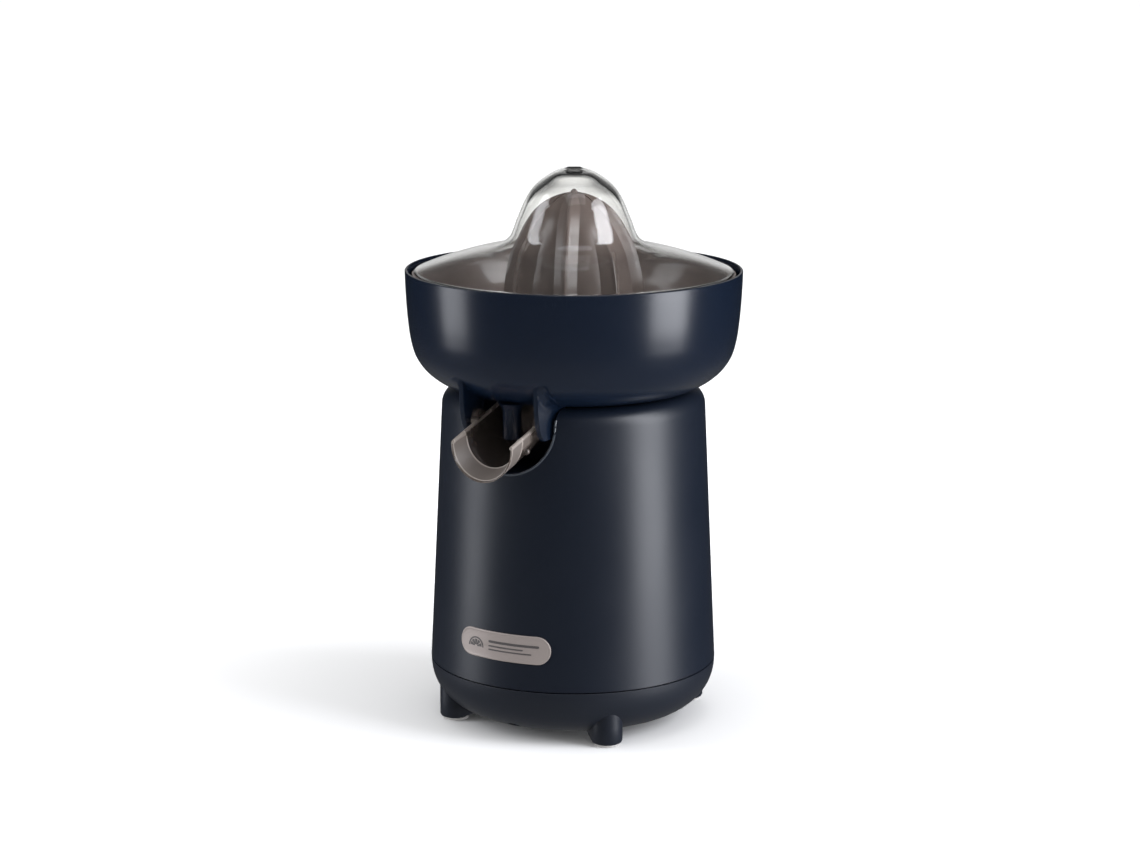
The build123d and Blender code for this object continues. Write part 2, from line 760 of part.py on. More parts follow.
def write_parts():
    os.makedirs("parts", exist_ok=True)
    pieces = {
        "base_shell": base_shell(),
        "body_shell": body_shell(),
        "badge": badge(),
        "cord_inlet": cord_inlet(),
        "casing_screws": casing_screws(),
        "terminal_block": terminal_block(),
        "gearbox_housing": gearbox_housing(),
        "gearbox_cover": gearbox_cover(),
        "gearbox_screws": gearbox_screws(),
        "gear_pin": gear_pin(),
        "motor_stator": motor_stator(),
        "motor_coil": motor_coil(),
        "upper_bearing_bracket": bearing_bracket(stack_top_z, 1),
        "lower_bearing_bracket": bearing_bracket(stack_bottom_z, -1),
        "motor_screws": motor_screws(),
        "rotor_core": rotor_core(),
        "rotor_shaft": rotor_shaft(),
        "motor_pinion": motor_pinion(),
        "compound_gear": compound_gear(),
        "output_gear": output_gear(),
        "spindle": spindle(),
        "spindle_clip": spindle_clip(),
        "return_spring": return_spring(),
        "spindle_bush": spindle_bush(),
        "shaft_seal": shaft_seal(),
        "microswitch": microswitch(),
        "switch_lever": switch_lever(),
        "collector_bowl": collector_bowl(),
        "spout": spout(),
        "strainer": strainer(),
        "drive_sleeve": drive_sleeve(),
        "cone": cone(),
        "dust_cover": dust_cover(),
    }
    for number, angle in enumerate(leg_angles, start=1):
        pieces[f"foot_pad_{number}"] = foot_pad(angle)
    for name, shape in pieces.items():
        export_step(shape, f"parts/{name}.step")


write_parts()
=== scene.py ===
import json
import math

import bmesh
import bpy
from mathutils import Matrix, Vector


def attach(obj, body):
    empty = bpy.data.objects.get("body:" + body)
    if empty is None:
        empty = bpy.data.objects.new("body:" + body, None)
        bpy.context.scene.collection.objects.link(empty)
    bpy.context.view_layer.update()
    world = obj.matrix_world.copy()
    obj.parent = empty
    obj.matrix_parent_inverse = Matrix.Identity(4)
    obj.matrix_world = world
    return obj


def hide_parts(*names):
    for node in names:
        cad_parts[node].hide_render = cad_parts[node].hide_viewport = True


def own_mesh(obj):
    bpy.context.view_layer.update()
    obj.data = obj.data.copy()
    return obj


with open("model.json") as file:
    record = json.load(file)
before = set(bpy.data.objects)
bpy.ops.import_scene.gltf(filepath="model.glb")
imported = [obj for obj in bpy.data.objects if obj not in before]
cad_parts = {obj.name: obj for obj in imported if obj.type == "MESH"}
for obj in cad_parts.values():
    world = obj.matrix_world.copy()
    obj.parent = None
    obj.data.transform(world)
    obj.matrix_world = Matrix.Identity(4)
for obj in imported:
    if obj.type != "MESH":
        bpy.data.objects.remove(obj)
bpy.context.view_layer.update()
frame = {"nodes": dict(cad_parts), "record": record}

mm = 0.001
scene = bpy.context.scene
scene.view_settings.view_transform = "Standard"
print("frame loaded:", len(frame["nodes"]), "nodes")


# ---- outlines, all in millimetres as (radius, height) ----

def smoothThrough(points, steps=6):
    # a smooth line through the points, with even steps between each two
    ends = [[2 * points[0][i] - points[1][i] for i in (0, 1)],
            [2 * points[-1][i] - points[-2][i] for i in (0, 1)]]
    p = [ends[0]] + [list(q) for q in points] + [ends[1]]
    line = []
    for k in range(1, len(p) - 2):
        for s in range(steps):
            t = s / steps
            line.append(tuple(
                0.5 * (2 * p[k][i] + (p[k + 1][i] - p[k - 1][i]) * t
                       + (2 * p[k - 1][i] - 5 * p[k][i] + 4 * p[k + 1][i] - p[k + 2][i]) * t * t
                       + (3 * p[k][i] - p[k - 1][i] - 3 * p[k + 1][i] + p[k + 2][i]) * t ** 3)
                for i in (0, 1)))
    return line + [tuple(points[-1])]


def roundCorners(points, radius, steps=4, limit=25):
    # a closed outline with its sharp corners rounded off
    done = []
    count = len(points)
    for k in range(count):
        here = Vector(points[k])
        back = Vector(points[k - 1]) - here
        ahead = Vector(points[(k + 1) % count]) - here
        turn = math.degrees(math.pi - back.angle(ahead)) if back.length and ahead.length else 0
        if turn < limit or here.x < 1e-6:
            done.append(tuple(here))
            continue
        reach = min(radius * math.tan(math.radians(turn) / 2), back.length * 0.45, ahead.length * 0.45)
        first = here + back.normalized() * reach
        last = here + ahead.normalized() * reach
        for s in range(steps + 1):
            t = s / steps
            done.append(tuple(first * (1 - t) ** 2 + here * 2 * t * (1 - t) + last * t * t))
    return done


# ---- meshes ----

def makeObject(name, vertices, faces, sharp=38):
    mesh = bpy.data.meshes.new(name)
    mesh.from_pydata([Vector(v) * mm for v in vertices], [], faces)
    tidyMesh(mesh)
    piece = bpy.data.objects.new(name, mesh)
    scene.collection.objects.link(piece)
    smoothShade(piece, sharp)
    return piece


def tidyMesh(mesh):
    work = bmesh.new()
    work.from_mesh(mesh)
    bmesh.ops.remove_doubles(work, verts=work.verts, dist=1e-6)
    bmesh.ops.dissolve_degenerate(work, edges=work.edges, dist=1e-7)
    bmesh.ops.recalc_face_normals(work, faces=work.faces)
    work.to_mesh(mesh)
    work.free()


def smoothShade(piece, sharp=38):
    piece.data.shade_smooth()
    piece.data.set_sharp_from_angle(angle=math.radians(sharp))


def fullTurn(steps):
    return [2 * math.pi * s / steps for s in range(steps)]


def halfTurn(steps):
    return [math.pi * s / steps for s in range(steps + 1)]


def spin(outline, steps=160, middle=(0, 0)):
    # vertices and faces of a closed outline turned about the upright axis
    vertices, faces = [], []
    for r, z in outline:
        vertices += [(middle[0] + r * math.cos(a), middle[1] + r * math.sin(a), z) for a in fullTurn(steps)]
    rows = len(outline)
    for k in range(rows):
        below, above = k * steps, (k + 1) % rows * steps
        for s in range(steps):
            n = (s + 1) % steps
            faces.append((below + s, below + n, above + n, above + s))
    return vertices, faces


def turnedPiece(name, outline, steps=160, middle=(0, 0), sharp=38):
    vertices, faces = spin(outline, steps, middle)
    return makeObject(name, vertices, faces, sharp)


def loft(rings, caps=True):
    # closed rings of equal count joined one after another
    count = len(rings[0])
    vertices = [p for ring in rings for p in ring]
    faces = []
    for k in range(len(rings) - 1):
        for s in range(count):
            n = (s + 1) % count
            faces.append((k * count + s, k * count + n, (k + 1) * count + n, (k + 1) * count + s))
    if caps:
        faces.append(tuple(range(count)))
        faces.append(tuple((len(rings) - 1) * count + s for s in range(count)))
    return vertices, faces


def upright(path, levels):
    # a flat path of (x, y) drawn from one level to the next
    return loft([[(x, y, z) for x, y in path] for z in levels])


def lengthwise(path, stations):
    # a standing path of (x, z) drawn along y
    return loft([[(x, y, z) for x, z in path] for y in stations])


def circle(x, y, radius, steps):
    return [(x + radius * math.cos(a), y + radius * math.sin(a)) for a in fullTurn(steps)]


def tube(path, radius, sides=12):
    # a round bar along a list of points
    rings = []
    for k, p in enumerate(path):
        here = Vector(p)
        along = (Vector(path[min(k + 1, len(path) - 1)]) - Vector(path[max(k - 1, 0)])).normalized()
        side = along.cross(Vector((0, 0, 1)))
        if side.length < 0.1:
            side = along.cross(Vector((0, 1, 0)))
        side.normalize()
        up = side.cross(along)
        rings.append([here + (side * math.cos(a) + up * math.sin(a)) * radius
                      for a in fullTurn(sides)])
    return loft(rings)


def joinParts(name, parts, sharp=38):
    # several (vertices, faces) pairs as one object
    vertices, faces = [], []
    for v, f in parts:
        start = len(vertices)
        vertices += list(v)
        faces += [tuple(i + start for i in face) for face in f]
    return makeObject(name, vertices, faces, sharp)


def turnPoints(points, degrees):
    turn = Matrix.Rotation(math.radians(degrees), 3, "Z")
    return [turn @ Vector(p) for p in points]


def cutAway(piece, cutter):
    step = piece.modifiers.new("cut", "BOOLEAN")
    step.operation = "DIFFERENCE"
    step.solver = "EXACT"
    step.object = cutter
    applyModifiers(piece)
    bpy.data.objects.remove(cutter)
    smoothShade(piece)


def applyModifiers(piece):
    bpy.context.view_layer.update()
    view = bpy.context.evaluated_depsgraph_get()
    finished = bpy.data.meshes.new_from_object(piece.evaluated_get(view))
    piece.modifiers.clear()
    piece.data = finished


# ---- node trees ----

class Wire:
    # a value in a node tree: plain arithmetic on it lays down Math nodes
    def __init__(self, tree, socket):
        self.tree, self.socket = tree, socket

    def __add__(self, other):
        return calc(self.tree, "ADD", self, other)

    def __sub__(self, other):
        return calc(self.tree, "SUBTRACT", self, other)

    def __rsub__(self, other):
        return calc(self.tree, "SUBTRACT", other, self)

    def __mul__(self, other):
        return calc(self.tree, "MULTIPLY", self, other)

    def __truediv__(self, other):
        return calc(self.tree, "DIVIDE", self, other)

    def __abs__(self):
        return calc(self.tree, "ABSOLUTE", self)

    def atLeast(self, other):
        return calc(self.tree, "MAXIMUM", self, other)

    def atMost(self, other):
        return calc(self.tree, "MINIMUM", self, other)


def plug(tree, value, socket):
    if isinstance(value, Wire):
        tree.links.new(value.socket, socket)
    else:
        socket.default_value = value


def addNode(tree, kind, values=None, out=0, **settings):
    # a node with its settings and inputs filled in, returned as one of its outputs
    node = tree.nodes.new(kind)
    for name, value in settings.items():
        setattr(node, name, value)
    for label, value in (values or {}).items():
        plug(tree, value, node.inputs[label])
    return Wire(tree, node.outputs[out])


def calc(tree, operation, *values):
    return addNode(tree, "ShaderNodeMath", dict(enumerate(values)), operation=operation)


def axisOf(tree, vector, axis):
    return addNode(tree, "ShaderNodeSeparateXYZ", {0: vector}, axis)


def dotWith(tree, vector, direction):
    return addNode(tree, "ShaderNodeVectorMath", {0: vector, 1: direction}, "Value", operation="DOT_PRODUCT")


def growTree(name, inputs, build, material):
    # a Geometry Nodes tree with named inputs, made into a plain mesh
    tree = bpy.data.node_groups.new(name + "Tree", "GeometryNodeTree")
    tree.interface.new_socket("Geometry", in_out="INPUT", socket_type="NodeSocketGeometry")
    tree.interface.new_socket("Geometry", in_out="OUTPUT", socket_type="NodeSocketGeometry")
    for label in inputs:
        tree.interface.new_socket(label, in_out="INPUT", socket_type="NodeSocket" + inputs[label][0])
    entry = tree.nodes.new("NodeGroupInput")
    leave = tree.nodes.new("NodeGroupOutput")
    shape = build(tree, {label: Wire(tree, entry.outputs[label]) for label in inputs})
    real = addNode(tree, "GeometryNodeRealizeInstances", {0: shape})
    painted = addNode(tree, "GeometryNodeSetMaterial", {"Geometry": real, "Material": material})
    plug(tree, painted, leave.inputs[0])
    piece = bpy.data.objects.new(name, bpy.data.meshes.new(name))
    scene.collection.objects.link(piece)
    step = piece.modifiers.new("grow", "NODES")
    step.node_group = tree
    for socket in tree.interface.items_tree:
        if socket.in_out == "INPUT" and socket.name in inputs:
            step[socket.identifier] = inputs[socket.name][1]
    applyModifiers(piece)
    piece.name = name
    tidyMesh(piece.data)
    smoothShade(piece)
    return piece


def place(piece, body, material=None, instead=()):
    if material:
        piece.data.materials.clear()
        piece.data.materials.append(material)
    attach(piece, body)
    if instead:
        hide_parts(*instead)
    return piece


# ---- materials ----

def newMaterial(name):
    material = bpy.data.materials.new(name)
    material.use_nodes = True
    tree = material.node_tree
    return material, tree, tree.nodes["Principled BSDF"], addNode(tree, "ShaderNodeTexCoord", out="Object")


def noiseAt(tree, where, scale, detail=2.0):
    return addNode(tree, "ShaderNodeTexNoise", {"Vector": where, "Scale": scale, "Detail": detail}, "Fac")


def between(tree, value, low, high):
    return addNode(tree, "ShaderNodeMapRange", {"Value": value, "From Min": 0.3, "From Max": 0.7,
                                                "To Min": low, "To Max": high}, "Result")


def smoothRange(tree, value, low, high, first, last):
    return addNode(tree, "ShaderNodeMapRange", {"Value": value, "From Min": low, "From Max": high,
                                                "To Min": first, "To Max": last}, "Result",
                   interpolation_type="SMOOTHSTEP")


def blendColour(tree, value, first, second):
    ends = [(*colour, 1) if isinstance(colour, tuple) else colour for colour in (first, second)]
    return addNode(tree, "ShaderNodeMix", {"Factor": value, "A": ends[0], "B": ends[1]}, "Result",
                   data_type="RGBA")


def addBump(tree, shader, height, strength, distance):
    bump = addNode(tree, "ShaderNodeBump", {"Height": height, "Strength": strength, "Distance": distance})
    plug(tree, bump, shader.inputs["Normal"])


def mouldedPlastic(name, look):
    material, tree, shader, where = newMaterial(name)
    drift = noiseAt(tree, where, look["driftScale"], 3.0)
    grain = noiseAt(tree, where, look["grainScale"])
    plug(tree, blendColour(tree, between(tree, drift, 0, 1), look["colour"], look["otherColour"]),
         shader.inputs["Base Color"])
    rough = between(tree, drift, look["rough"] * 0.93, look["rough"] * 1.07) + between(tree, grain, -0.02, 0.02)
    plug(tree, rough, shader.inputs["Roughness"])
    addBump(tree, shader, grain, look["grain"], look["grainDepth"])
    shader.inputs["Specular IOR Level"].default_value = look.get("specular", 0.5)
    return material


def metal(name, look):
    material, tree, shader, where = newMaterial(name)
    stretched = addNode(tree, "ShaderNodeMapping", {"Vector": where, "Scale": look["stretch"]})
    lines = noiseAt(tree, stretched, look["lineScale"], 4.0)
    plug(tree, blendColour(tree, between(tree, lines, 0, 1), look["colour"], look["otherColour"]),
         shader.inputs["Base Color"])
    plug(tree, between(tree, lines, look["rough"] * 0.8, look["rough"] * 1.25), shader.inputs["Roughness"])
    addBump(tree, shader, lines, look["grain"], 0.0001)
    shader.inputs["Metallic"].default_value = look.get("metallic", 1.0)
    return material


plasticLooks = {
    "navyPlastic": dict(colour=(0.0018, 0.0044, 0.0108), otherColour=(0.0023, 0.0050, 0.0120), rough=0.38,
                        driftScale=14, grainScale=2600, grain=0.10, grainDepth=0.00006),
    "navyGloss": dict(colour=(0.0017, 0.0044, 0.0110), otherColour=(0.0022, 0.0050, 0.0121), rough=0.24,
                      driftScale=14, grainScale=2200, grain=0.06, grainDepth=0.00005),
    # painted highlight: the rolled pocket edge is coloured far lighter than the navy body to stand in for the thin
    # highlight line along it
    "navyEdgePaintedHighlight": dict(colour=(0.026, 0.031, 0.038), otherColour=(0.030, 0.035, 0.043), rough=0.2,
                     driftScale=14, grainScale=2200, grain=0.02, grainDepth=0.00003, specular=0.7),
    "darkShell": dict(colour=(0.0026, 0.0050, 0.0114), otherColour=(0.0031, 0.0057, 0.0125), rough=0.44,
                      driftScale=16, grainScale=2400, grain=0.16, grainDepth=0.00008),
    "taupeGloss": dict(colour=(0.074, 0.057, 0.050), otherColour=(0.081, 0.063, 0.055), rough=0.24,
                       driftScale=22, grainScale=900, grain=0.02, grainDepth=0.00005, specular=0.4),
    "taupePlastic": dict(colour=(0.122, 0.098, 0.088), otherColour=(0.130, 0.105, 0.095), rough=0.16,
                         driftScale=18, grainScale=1200, grain=0.03, grainDepth=0.00005, specular=0.45),
    "padRubber": dict(colour=(0.36, 0.35, 0.34), otherColour=(0.41, 0.40, 0.39), rough=0.7,
                      driftScale=90, grainScale=1800, grain=0.3, grainDepth=0.0001),
    "blackRubber": dict(colour=(0.010, 0.010, 0.011), otherColour=(0.014, 0.014, 0.015), rough=0.6,
                        driftScale=60, grainScale=2000, grain=0.25, grainDepth=0.0001),
    "nylonWhite": dict(colour=(0.70, 0.68, 0.61), otherColour=(0.74, 0.72, 0.66), rough=0.42,
                       driftScale=40, grainScale=1500, grain=0.08, grainDepth=0.0001),
    "nylonBlack": dict(colour=(0.022, 0.022, 0.024), otherColour=(0.028, 0.028, 0.030), rough=0.5,
                       driftScale=40, grainScale=1800, grain=0.2, grainDepth=0.0001),
    "markInk": dict(colour=(0.045, 0.040, 0.040), otherColour=(0.055, 0.050, 0.050), rough=0.45,
                    driftScale=200, grainScale=3000, grain=0.05, grainDepth=0.00002),
}
metalLooks = {
    "badgeSatin": dict(colour=(0.235, 0.205, 0.192), otherColour=(0.265, 0.23, 0.215), rough=0.42,
                       stretch=(1, 1, 14), lineScale=900, grain=0.12, metallic=0.35),
    "zincSteel": dict(colour=(0.50, 0.50, 0.48), otherColour=(0.62, 0.61, 0.57), rough=0.34,
                      stretch=(1, 1, 1), lineScale=500, grain=0.1),
    "groundSteel": dict(colour=(0.52, 0.52, 0.53), otherColour=(0.62, 0.62, 0.63), rough=0.24,
                        stretch=(1, 1, 20), lineScale=260, grain=0.08),
    "laminationSteel": dict(colour=(0.10, 0.10, 0.11), otherColour=(0.30, 0.30, 0.32), rough=0.45,
                            stretch=(0.02, 0.02, 1), lineScale=1600, grain=0.6),
    "copperWinding": dict(colour=(0.52, 0.17, 0.06), otherColour=(0.60, 0.22, 0.09), rough=0.3,
                          stretch=(1, 1, 1), lineScale=600, grain=0.1),
    "sinteredBronze": dict(colour=(0.45, 0.28, 0.11), otherColour=(0.52, 0.34, 0.15), rough=0.5,
                           stretch=(1, 1, 1), lineScale=1800, grain=0.5),
}
finish = {name: mouldedPlastic(name, look) for name, look in plasticLooks.items()}
finish.update({name: metal(name, look) for name, look in metalLooks.items()})

clearLook = dict(colour=(0.985, 0.987, 0.972), rough=0.015, ior=1.46, scratches=0.004)


def clearPlastic(name):
    material, tree, shader, where = newMaterial(name)
    shader.inputs["Base Color"].default_value = (*clearLook["colour"], 1)
    shader.inputs["Transmission Weight"].default_value = 1.0
    shader.inputs["IOR"].default_value = clearLook["ior"]
    smear = noiseAt(tree, where, 60, 4.0)
    plug(tree, between(tree, smear, clearLook["rough"], clearLook["rough"] + 0.03), shader.inputs["Roughness"])
    addBump(tree, shader, noiseAt(tree, where, 30, 1.0), clearLook["scratches"], 0.001)
    return material


finish["clearPlastic"] = clearPlastic("clearPlastic")

smokyLook = dict(clear=(0.22, 0.18, 0.16), frosted=(0.130, 0.111, 0.100), paintedEdgeHighlight=(0.34, 0.30, 0.27),
                 clearRough=0.05, frostedRough=0.3, clearShare=0.93, frostedShare=0.25, sideFrost=0.6,
                 bandClear=0.75, band=1.1, lipZone=11.0, lipY=-91.8, lipZ=158.0, slope=15.0)


def smokyPlastic(name):
    # see-through behind the step, frosted by wear from the step to the lip, with painted highlight lines: a lighter
    # colour along the step, the band line and the wall tops
    material, tree, shader, where = newMaterial(name)
    tilt = math.radians(smokyLook["slope"])
    along = dotWith(tree, where, (0, 1 / math.cos(tilt), 0))
    start = smokyLook["lipY"] / math.cos(tilt) * mm
    reach = smokyLook["lipZone"] * mm
    clear = smoothRange(tree, along, start + reach - 0.0003, start + reach + 0.0003, 0.0, 1.0)
    band = smoothRange(tree, along, start + 0.0006, start + 0.0010, smokyLook["bandClear"], 0.0)
    clear = clear.atLeast(band)
    drift = between(tree, noiseAt(tree, where, 45, 4.0), 0.0, 0.12)
    outside = smoothRange(tree, abs(axisOf(tree, where, 0)), 0.0161, 0.0168, 0.0, smokyLook["sideFrost"])
    forward = smoothRange(tree, along, start + 0.017, start + 0.024, 1.0, 0.12)
    clear = clear * (1 - outside * forward)
    across = dotWith(tree, where, (0, -math.sin(tilt), math.cos(tilt)))
    topPlane = (-smokyLook["lipY"] * math.sin(tilt) + smokyLook["lipZ"] * math.cos(tilt)) * mm
    rim = smoothRange(tree, abs(across - (topPlane + 0.0001)), 0.0007, 0.0011, 1.0, 0.0)
    stepLine = smoothRange(tree, abs(along - (start + reach)), 0.0003, 0.0006, 1.0, 0.0)
    bandLine = smoothRange(tree, abs(along - (start + smokyLook["band"] * mm)), 0.0002, 0.0004, 1.0, 0.0)
    # painted highlight: thin lighter, less see-through lines along the step, the band line and the wall tops stand in
    # for light caught on those edges
    paintedHighlightMask = stepLine.atLeast(bandLine).atLeast(rim * 0.6)
    clear = clear * (1 - paintedHighlightMask)
    frosted = blendColour(tree, paintedHighlightMask, smokyLook["frosted"], smokyLook["paintedEdgeHighlight"])
    plug(tree, blendColour(tree, clear, frosted, smokyLook["clear"]), shader.inputs["Base Color"])
    plug(tree, (1 - clear) * smokyLook["frostedRough"] + (drift + smokyLook["clearRough"]),
         shader.inputs["Roughness"])
    plug(tree, clear * (smokyLook["clearShare"] - smokyLook["frostedShare"]) + smokyLook["frostedShare"],
         shader.inputs["Transmission Weight"])
    shader.inputs["IOR"].default_value = 1.5
    addBump(tree, shader, noiseAt(tree, where, 120, 3.0), 0.12, 0.0004)
    return material


finish["taupeClear"] = smokyPlastic("taupeClear")
slotFinish = {
    "navy_plastic": "navyPlastic", "navy_gloss": "navyGloss", "dark_shell": "darkShell",
    "taupe_gloss": "taupeGloss", "taupe_plastic": "taupePlastic", "taupe_clear": "taupeClear",
    "clear_plastic": "clearPlastic", "badge_satin": "badgeSatin", "pad_rubber": "padRubber",
    "black_rubber": "blackRubber", "zinc_steel": "zincSteel", "ground_steel": "groundSteel",
    "lamination_steel": "laminationSteel", "copper_winding": "copperWinding",
    "sintered_bronze": "sinteredBronze", "nylon_white": "nylonWhite", "nylon_black": "nylonBlack",
}
for part in frame["record"]["subparts"]:
    node = frame["nodes"][part["node"]]
    node.data.materials.clear()
    node.data.materials.append(finish[slotFinish[part["material_slot"]]])
print("materials ready:", len(finish))


# ---- body shell ----

body = dict(footRadius=73.9, footZ=30.7, topRadius=67.6, deckZ=172.6, shoulder=9.0, wall=2.5,
            towerRadius=8.5, towerTopZ=204.0, towerFootZ=158.0, boreRadius=5.0, seatRadius=6.0, seatZ=189.0)
pocket = dict(halfWidth=24.6, roundZ=163.6, backY=-33.0, lining=2.0, edgeBead=0.65)


def bodyRadius(z, inset=0.0):
    flare = (z - body["footZ"]) / (body["deckZ"] - body["shoulder"] - body["footZ"])
    straight = body["footRadius"] + (body["topRadius"] - body["footRadius"]) * min(flare, 1)
    over = max(0.0, z - (body["deckZ"] - body["shoulder"]))
    if over:
        straight += math.sqrt(max(0.0, body["shoulder"] ** 2 - over ** 2)) - body["shoulder"]
    return straight - inset


def bodyOutline():
    bendZ = body["deckZ"] - body["shoulder"]
    rise = [body["footZ"] + (bendZ - body["footZ"]) * k / 26 for k in range(27)]
    outer = [(bodyRadius(z), z) for z in rise]
    bend = [(body["topRadius"] - body["shoulder"] * (1 - math.cos(a)), bendZ + body["shoulder"] * math.sin(a))
            for a in (math.pi / 2 * k / 9 for k in range(1, 10))]
    tower = [(body["towerRadius"] + 2.5, body["deckZ"]), (body["towerRadius"] + 0.7, body["deckZ"] + 0.7),
             (body["towerRadius"], body["deckZ"] + 2.5), (body["towerRadius"], body["towerTopZ"] - 0.5),
             (body["towerRadius"] - 0.5, body["towerTopZ"]), (body["seatRadius"] + 0.3, body["towerTopZ"]),
             (body["seatRadius"], body["towerTopZ"] - 0.3), (body["seatRadius"], body["seatZ"]),
             (body["boreRadius"], body["seatZ"]), (body["boreRadius"], body["towerFootZ"]),
             (body["towerRadius"], body["towerFootZ"]), (body["towerRadius"], body["deckZ"] - body["wall"])]
    inner = [(body["topRadius"] - body["shoulder"], body["deckZ"] - body["wall"]),
             (body["topRadius"] - body["wall"], bendZ)]
    inner += [(bodyRadius(z) - body["wall"], z) for z in reversed(rise[:-1])]
    return outer + bend + tower + inner


def uPath(halfWidth, topZ, steps=40, legSteps=6):
    # the U of the pocket from its top left to its top right, as (x, z)
    path = [(-halfWidth, topZ + (pocket["roundZ"] - topZ) * k / legSteps) for k in range(legSteps)]
    path += [(-halfWidth * math.cos(a), pocket["roundZ"] - halfWidth * math.sin(a)) for a in halfTurn(steps)]
    path += [(halfWidth, pocket["roundZ"] + (topZ - pocket["roundZ"]) * k / legSteps)
             for k in range(1, legSteps + 1)]
    return path


def frontY(x, z, inset):
    return -math.sqrt(max(bodyRadius(min(z, body["deckZ"] - 0.4)) - inset, abs(x)) ** 2 - x * x)


def buildBody():
    shell = turnedPiece("bodyShell", bodyOutline(), 224)
    cutPath = uPath(pocket["halfWidth"], body["deckZ"] + 6)
    cutAway(shell, joinParts("pocketCutter", [lengthwise(cutPath, (-80, pocket["backY"]))]))
    # lining of the pocket: floor and sides out to the skin, and the back wall
    inner = uPath(pocket["halfWidth"], body["deckZ"])
    outer = uPath(pocket["halfWidth"] + pocket["lining"], body["deckZ"])
    loop = inner + outer[::-1]
    lining = loft([[(x, pocket["backY"] + (frontY(x, z, 0.9) - pocket["backY"]) * t, z) for x, z in loop]
                   for t in (0, 0.35, 0.7, 1)])
    back = lengthwise(outer, (pocket["backY"] + pocket["lining"], pocket["backY"]))
    # rolled edge that follows the opening
    rim = uPath(pocket["halfWidth"] + 0.1, body["deckZ"] - 5, 56)
    bead = tube([(x, frontY(x, z, 0.25), z) for x, z in rim], pocket["edgeBead"], 12)
    return shell, joinParts("pocketLining", [lining, back]), joinParts("pocketEdge", [bead])


shell, pocketLining, pocketEdge = buildBody()
place(shell, "housing", finish["navyPlastic"], ["body_shell"])
place(pocketLining, "housing", finish["navyPlastic"])
place(pocketEdge, "housing", finish["navyEdgePaintedHighlight"])
print("body shell made")


# ---- base shell, legs and pads ----

base = dict(seamZ=30.3, bottomZ=3.4, belly=31.0, power=0.9, wall=2.5, legRadius=8.0, legCentre=63.2,
            padHeight=1.2, padRadius=6.5, webEnd=44.0, webRise=5.2, slots=7, slotGap=8.0,
            slotWidth=3.0, slotLength=40.0, screwCircle=60.0, screwHole=3.4, inletRadius=6.0, inletZ=19.0)


def basePoint(degrees, inset=0.0):
    across = math.cos(math.radians(degrees)) ** base["power"]
    down = math.sin(math.radians(degrees)) ** base["power"]
    middle = body["footRadius"] - base["belly"]
    return (middle + (base["belly"] - inset) * across,
            base["seamZ"] - (base["seamZ"] - base["bottomZ"] - inset) * down)


def legParts(degrees):
    # horizontal rings of a leg: round outside, straight web inward
    rings = []
    for lift, shrink in ((0.0, 1.3), (0.35, 0.5), (1.3, 0.0), (9.0, 0.0), (14.0, 0.0), (19.0, 0.0)):
        radius = base["legRadius"] - shrink
        ring = [(base["legCentre"] + radius * math.cos(a), radius * math.sin(a), base["padHeight"] + lift)
                for a in (math.pi * (k / 20 - 0.5) for k in range(21))]
        for k in range(1, 9):
            r = base["legCentre"] + (base["webEnd"] - base["legCentre"]) * k / 8
            rise = base["webRise"] * k / 8 * max(0.0, 1 - lift / 14)
            ring.append((r, radius, base["padHeight"] + lift + rise))
        for k in range(8, 0, -1):
            r = base["legCentre"] + (base["webEnd"] - base["legCentre"]) * k / 8
            rise = base["webRise"] * k / 8 * max(0.0, 1 - lift / 14)
            ring.append((r, -radius, base["padHeight"] + lift + rise))
        rings.append(turnPoints(ring, degrees))
    return loft(rings)


def buildBase():
    curve = [basePoint(90 * k / 22) for k in range(23)]
    inner = [basePoint(90 * k / 16, base["wall"]) for k in range(16, -1, -1)]
    foot, seam = body["footRadius"], base["seamZ"]
    outline = [(foot - 2.4, seam + 0.35), (foot - 2.4, seam - 0.4), (foot - 0.2, seam - 0.3), (foot, seam - 0.5)]
    outline += curve[1:] + [(0, base["bottomZ"]), (0, base["bottomZ"] + base["wall"])] + inner
    hull = turnedPiece("baseShell", outline, 192)
    slots, through = [], (0, 12)
    half, long = base["slotWidth"] / 2, base["slotLength"] / 2 - base["slotWidth"] / 2
    for k in range(base["slots"]):
        x = (k - (base["slots"] - 1) / 2) * base["slotGap"]
        ring = [(x + half * math.cos(a), long + half * math.sin(a)) for a in halfTurn(8)]
        ring += [(x - half * math.cos(a), -long - half * math.sin(a)) for a in halfTurn(8)]
        slots.append(upright(ring, through))
    for x, y in circle(0, 0, base["screwCircle"], 4):
        slots.append(upright(circle(x, y, base["screwHole"], 20), through))
    slots.append(lengthwise(circle(0, base["inletZ"], base["inletRadius"], 32), (60, 80)))
    cutAway(hull, joinParts("baseCutter", slots))
    return hull, joinParts("legs", [legParts(45 + 90 * k) for k in range(4)])


hull, legs = buildBase()
place(hull, "housing", finish["darkShell"], ["base_shell"])
place(legs, "housing", finish["darkShell"])
padOutline = roundCorners([(0, 0), (base["padRadius"], 0), (base["padRadius"], base["padHeight"]),
                           (0, base["padHeight"])], 0.35)
for k in range(4):
    angle = math.radians(45 + 90 * k)
    middle = (base["legCentre"] * math.cos(angle), base["legCentre"] * math.sin(angle))
    pad = turnedPiece(f"footPad{k + 1}", padOutline, 48, middle)
    place(pad, "housing", finish["padRubber"], [f"foot_pad_{k + 1}"])
print("base, legs and pads made")


# ---- badge with a plain citrus mark ----

badge = dict(centreZ=51.6, height=14.3, width=52.8, face=0.6, mark=0.12, markCentre=(-15.5, -2.0), rind=(4.2, 4.9),
             segment=(0.9, 3.7), segments=5)
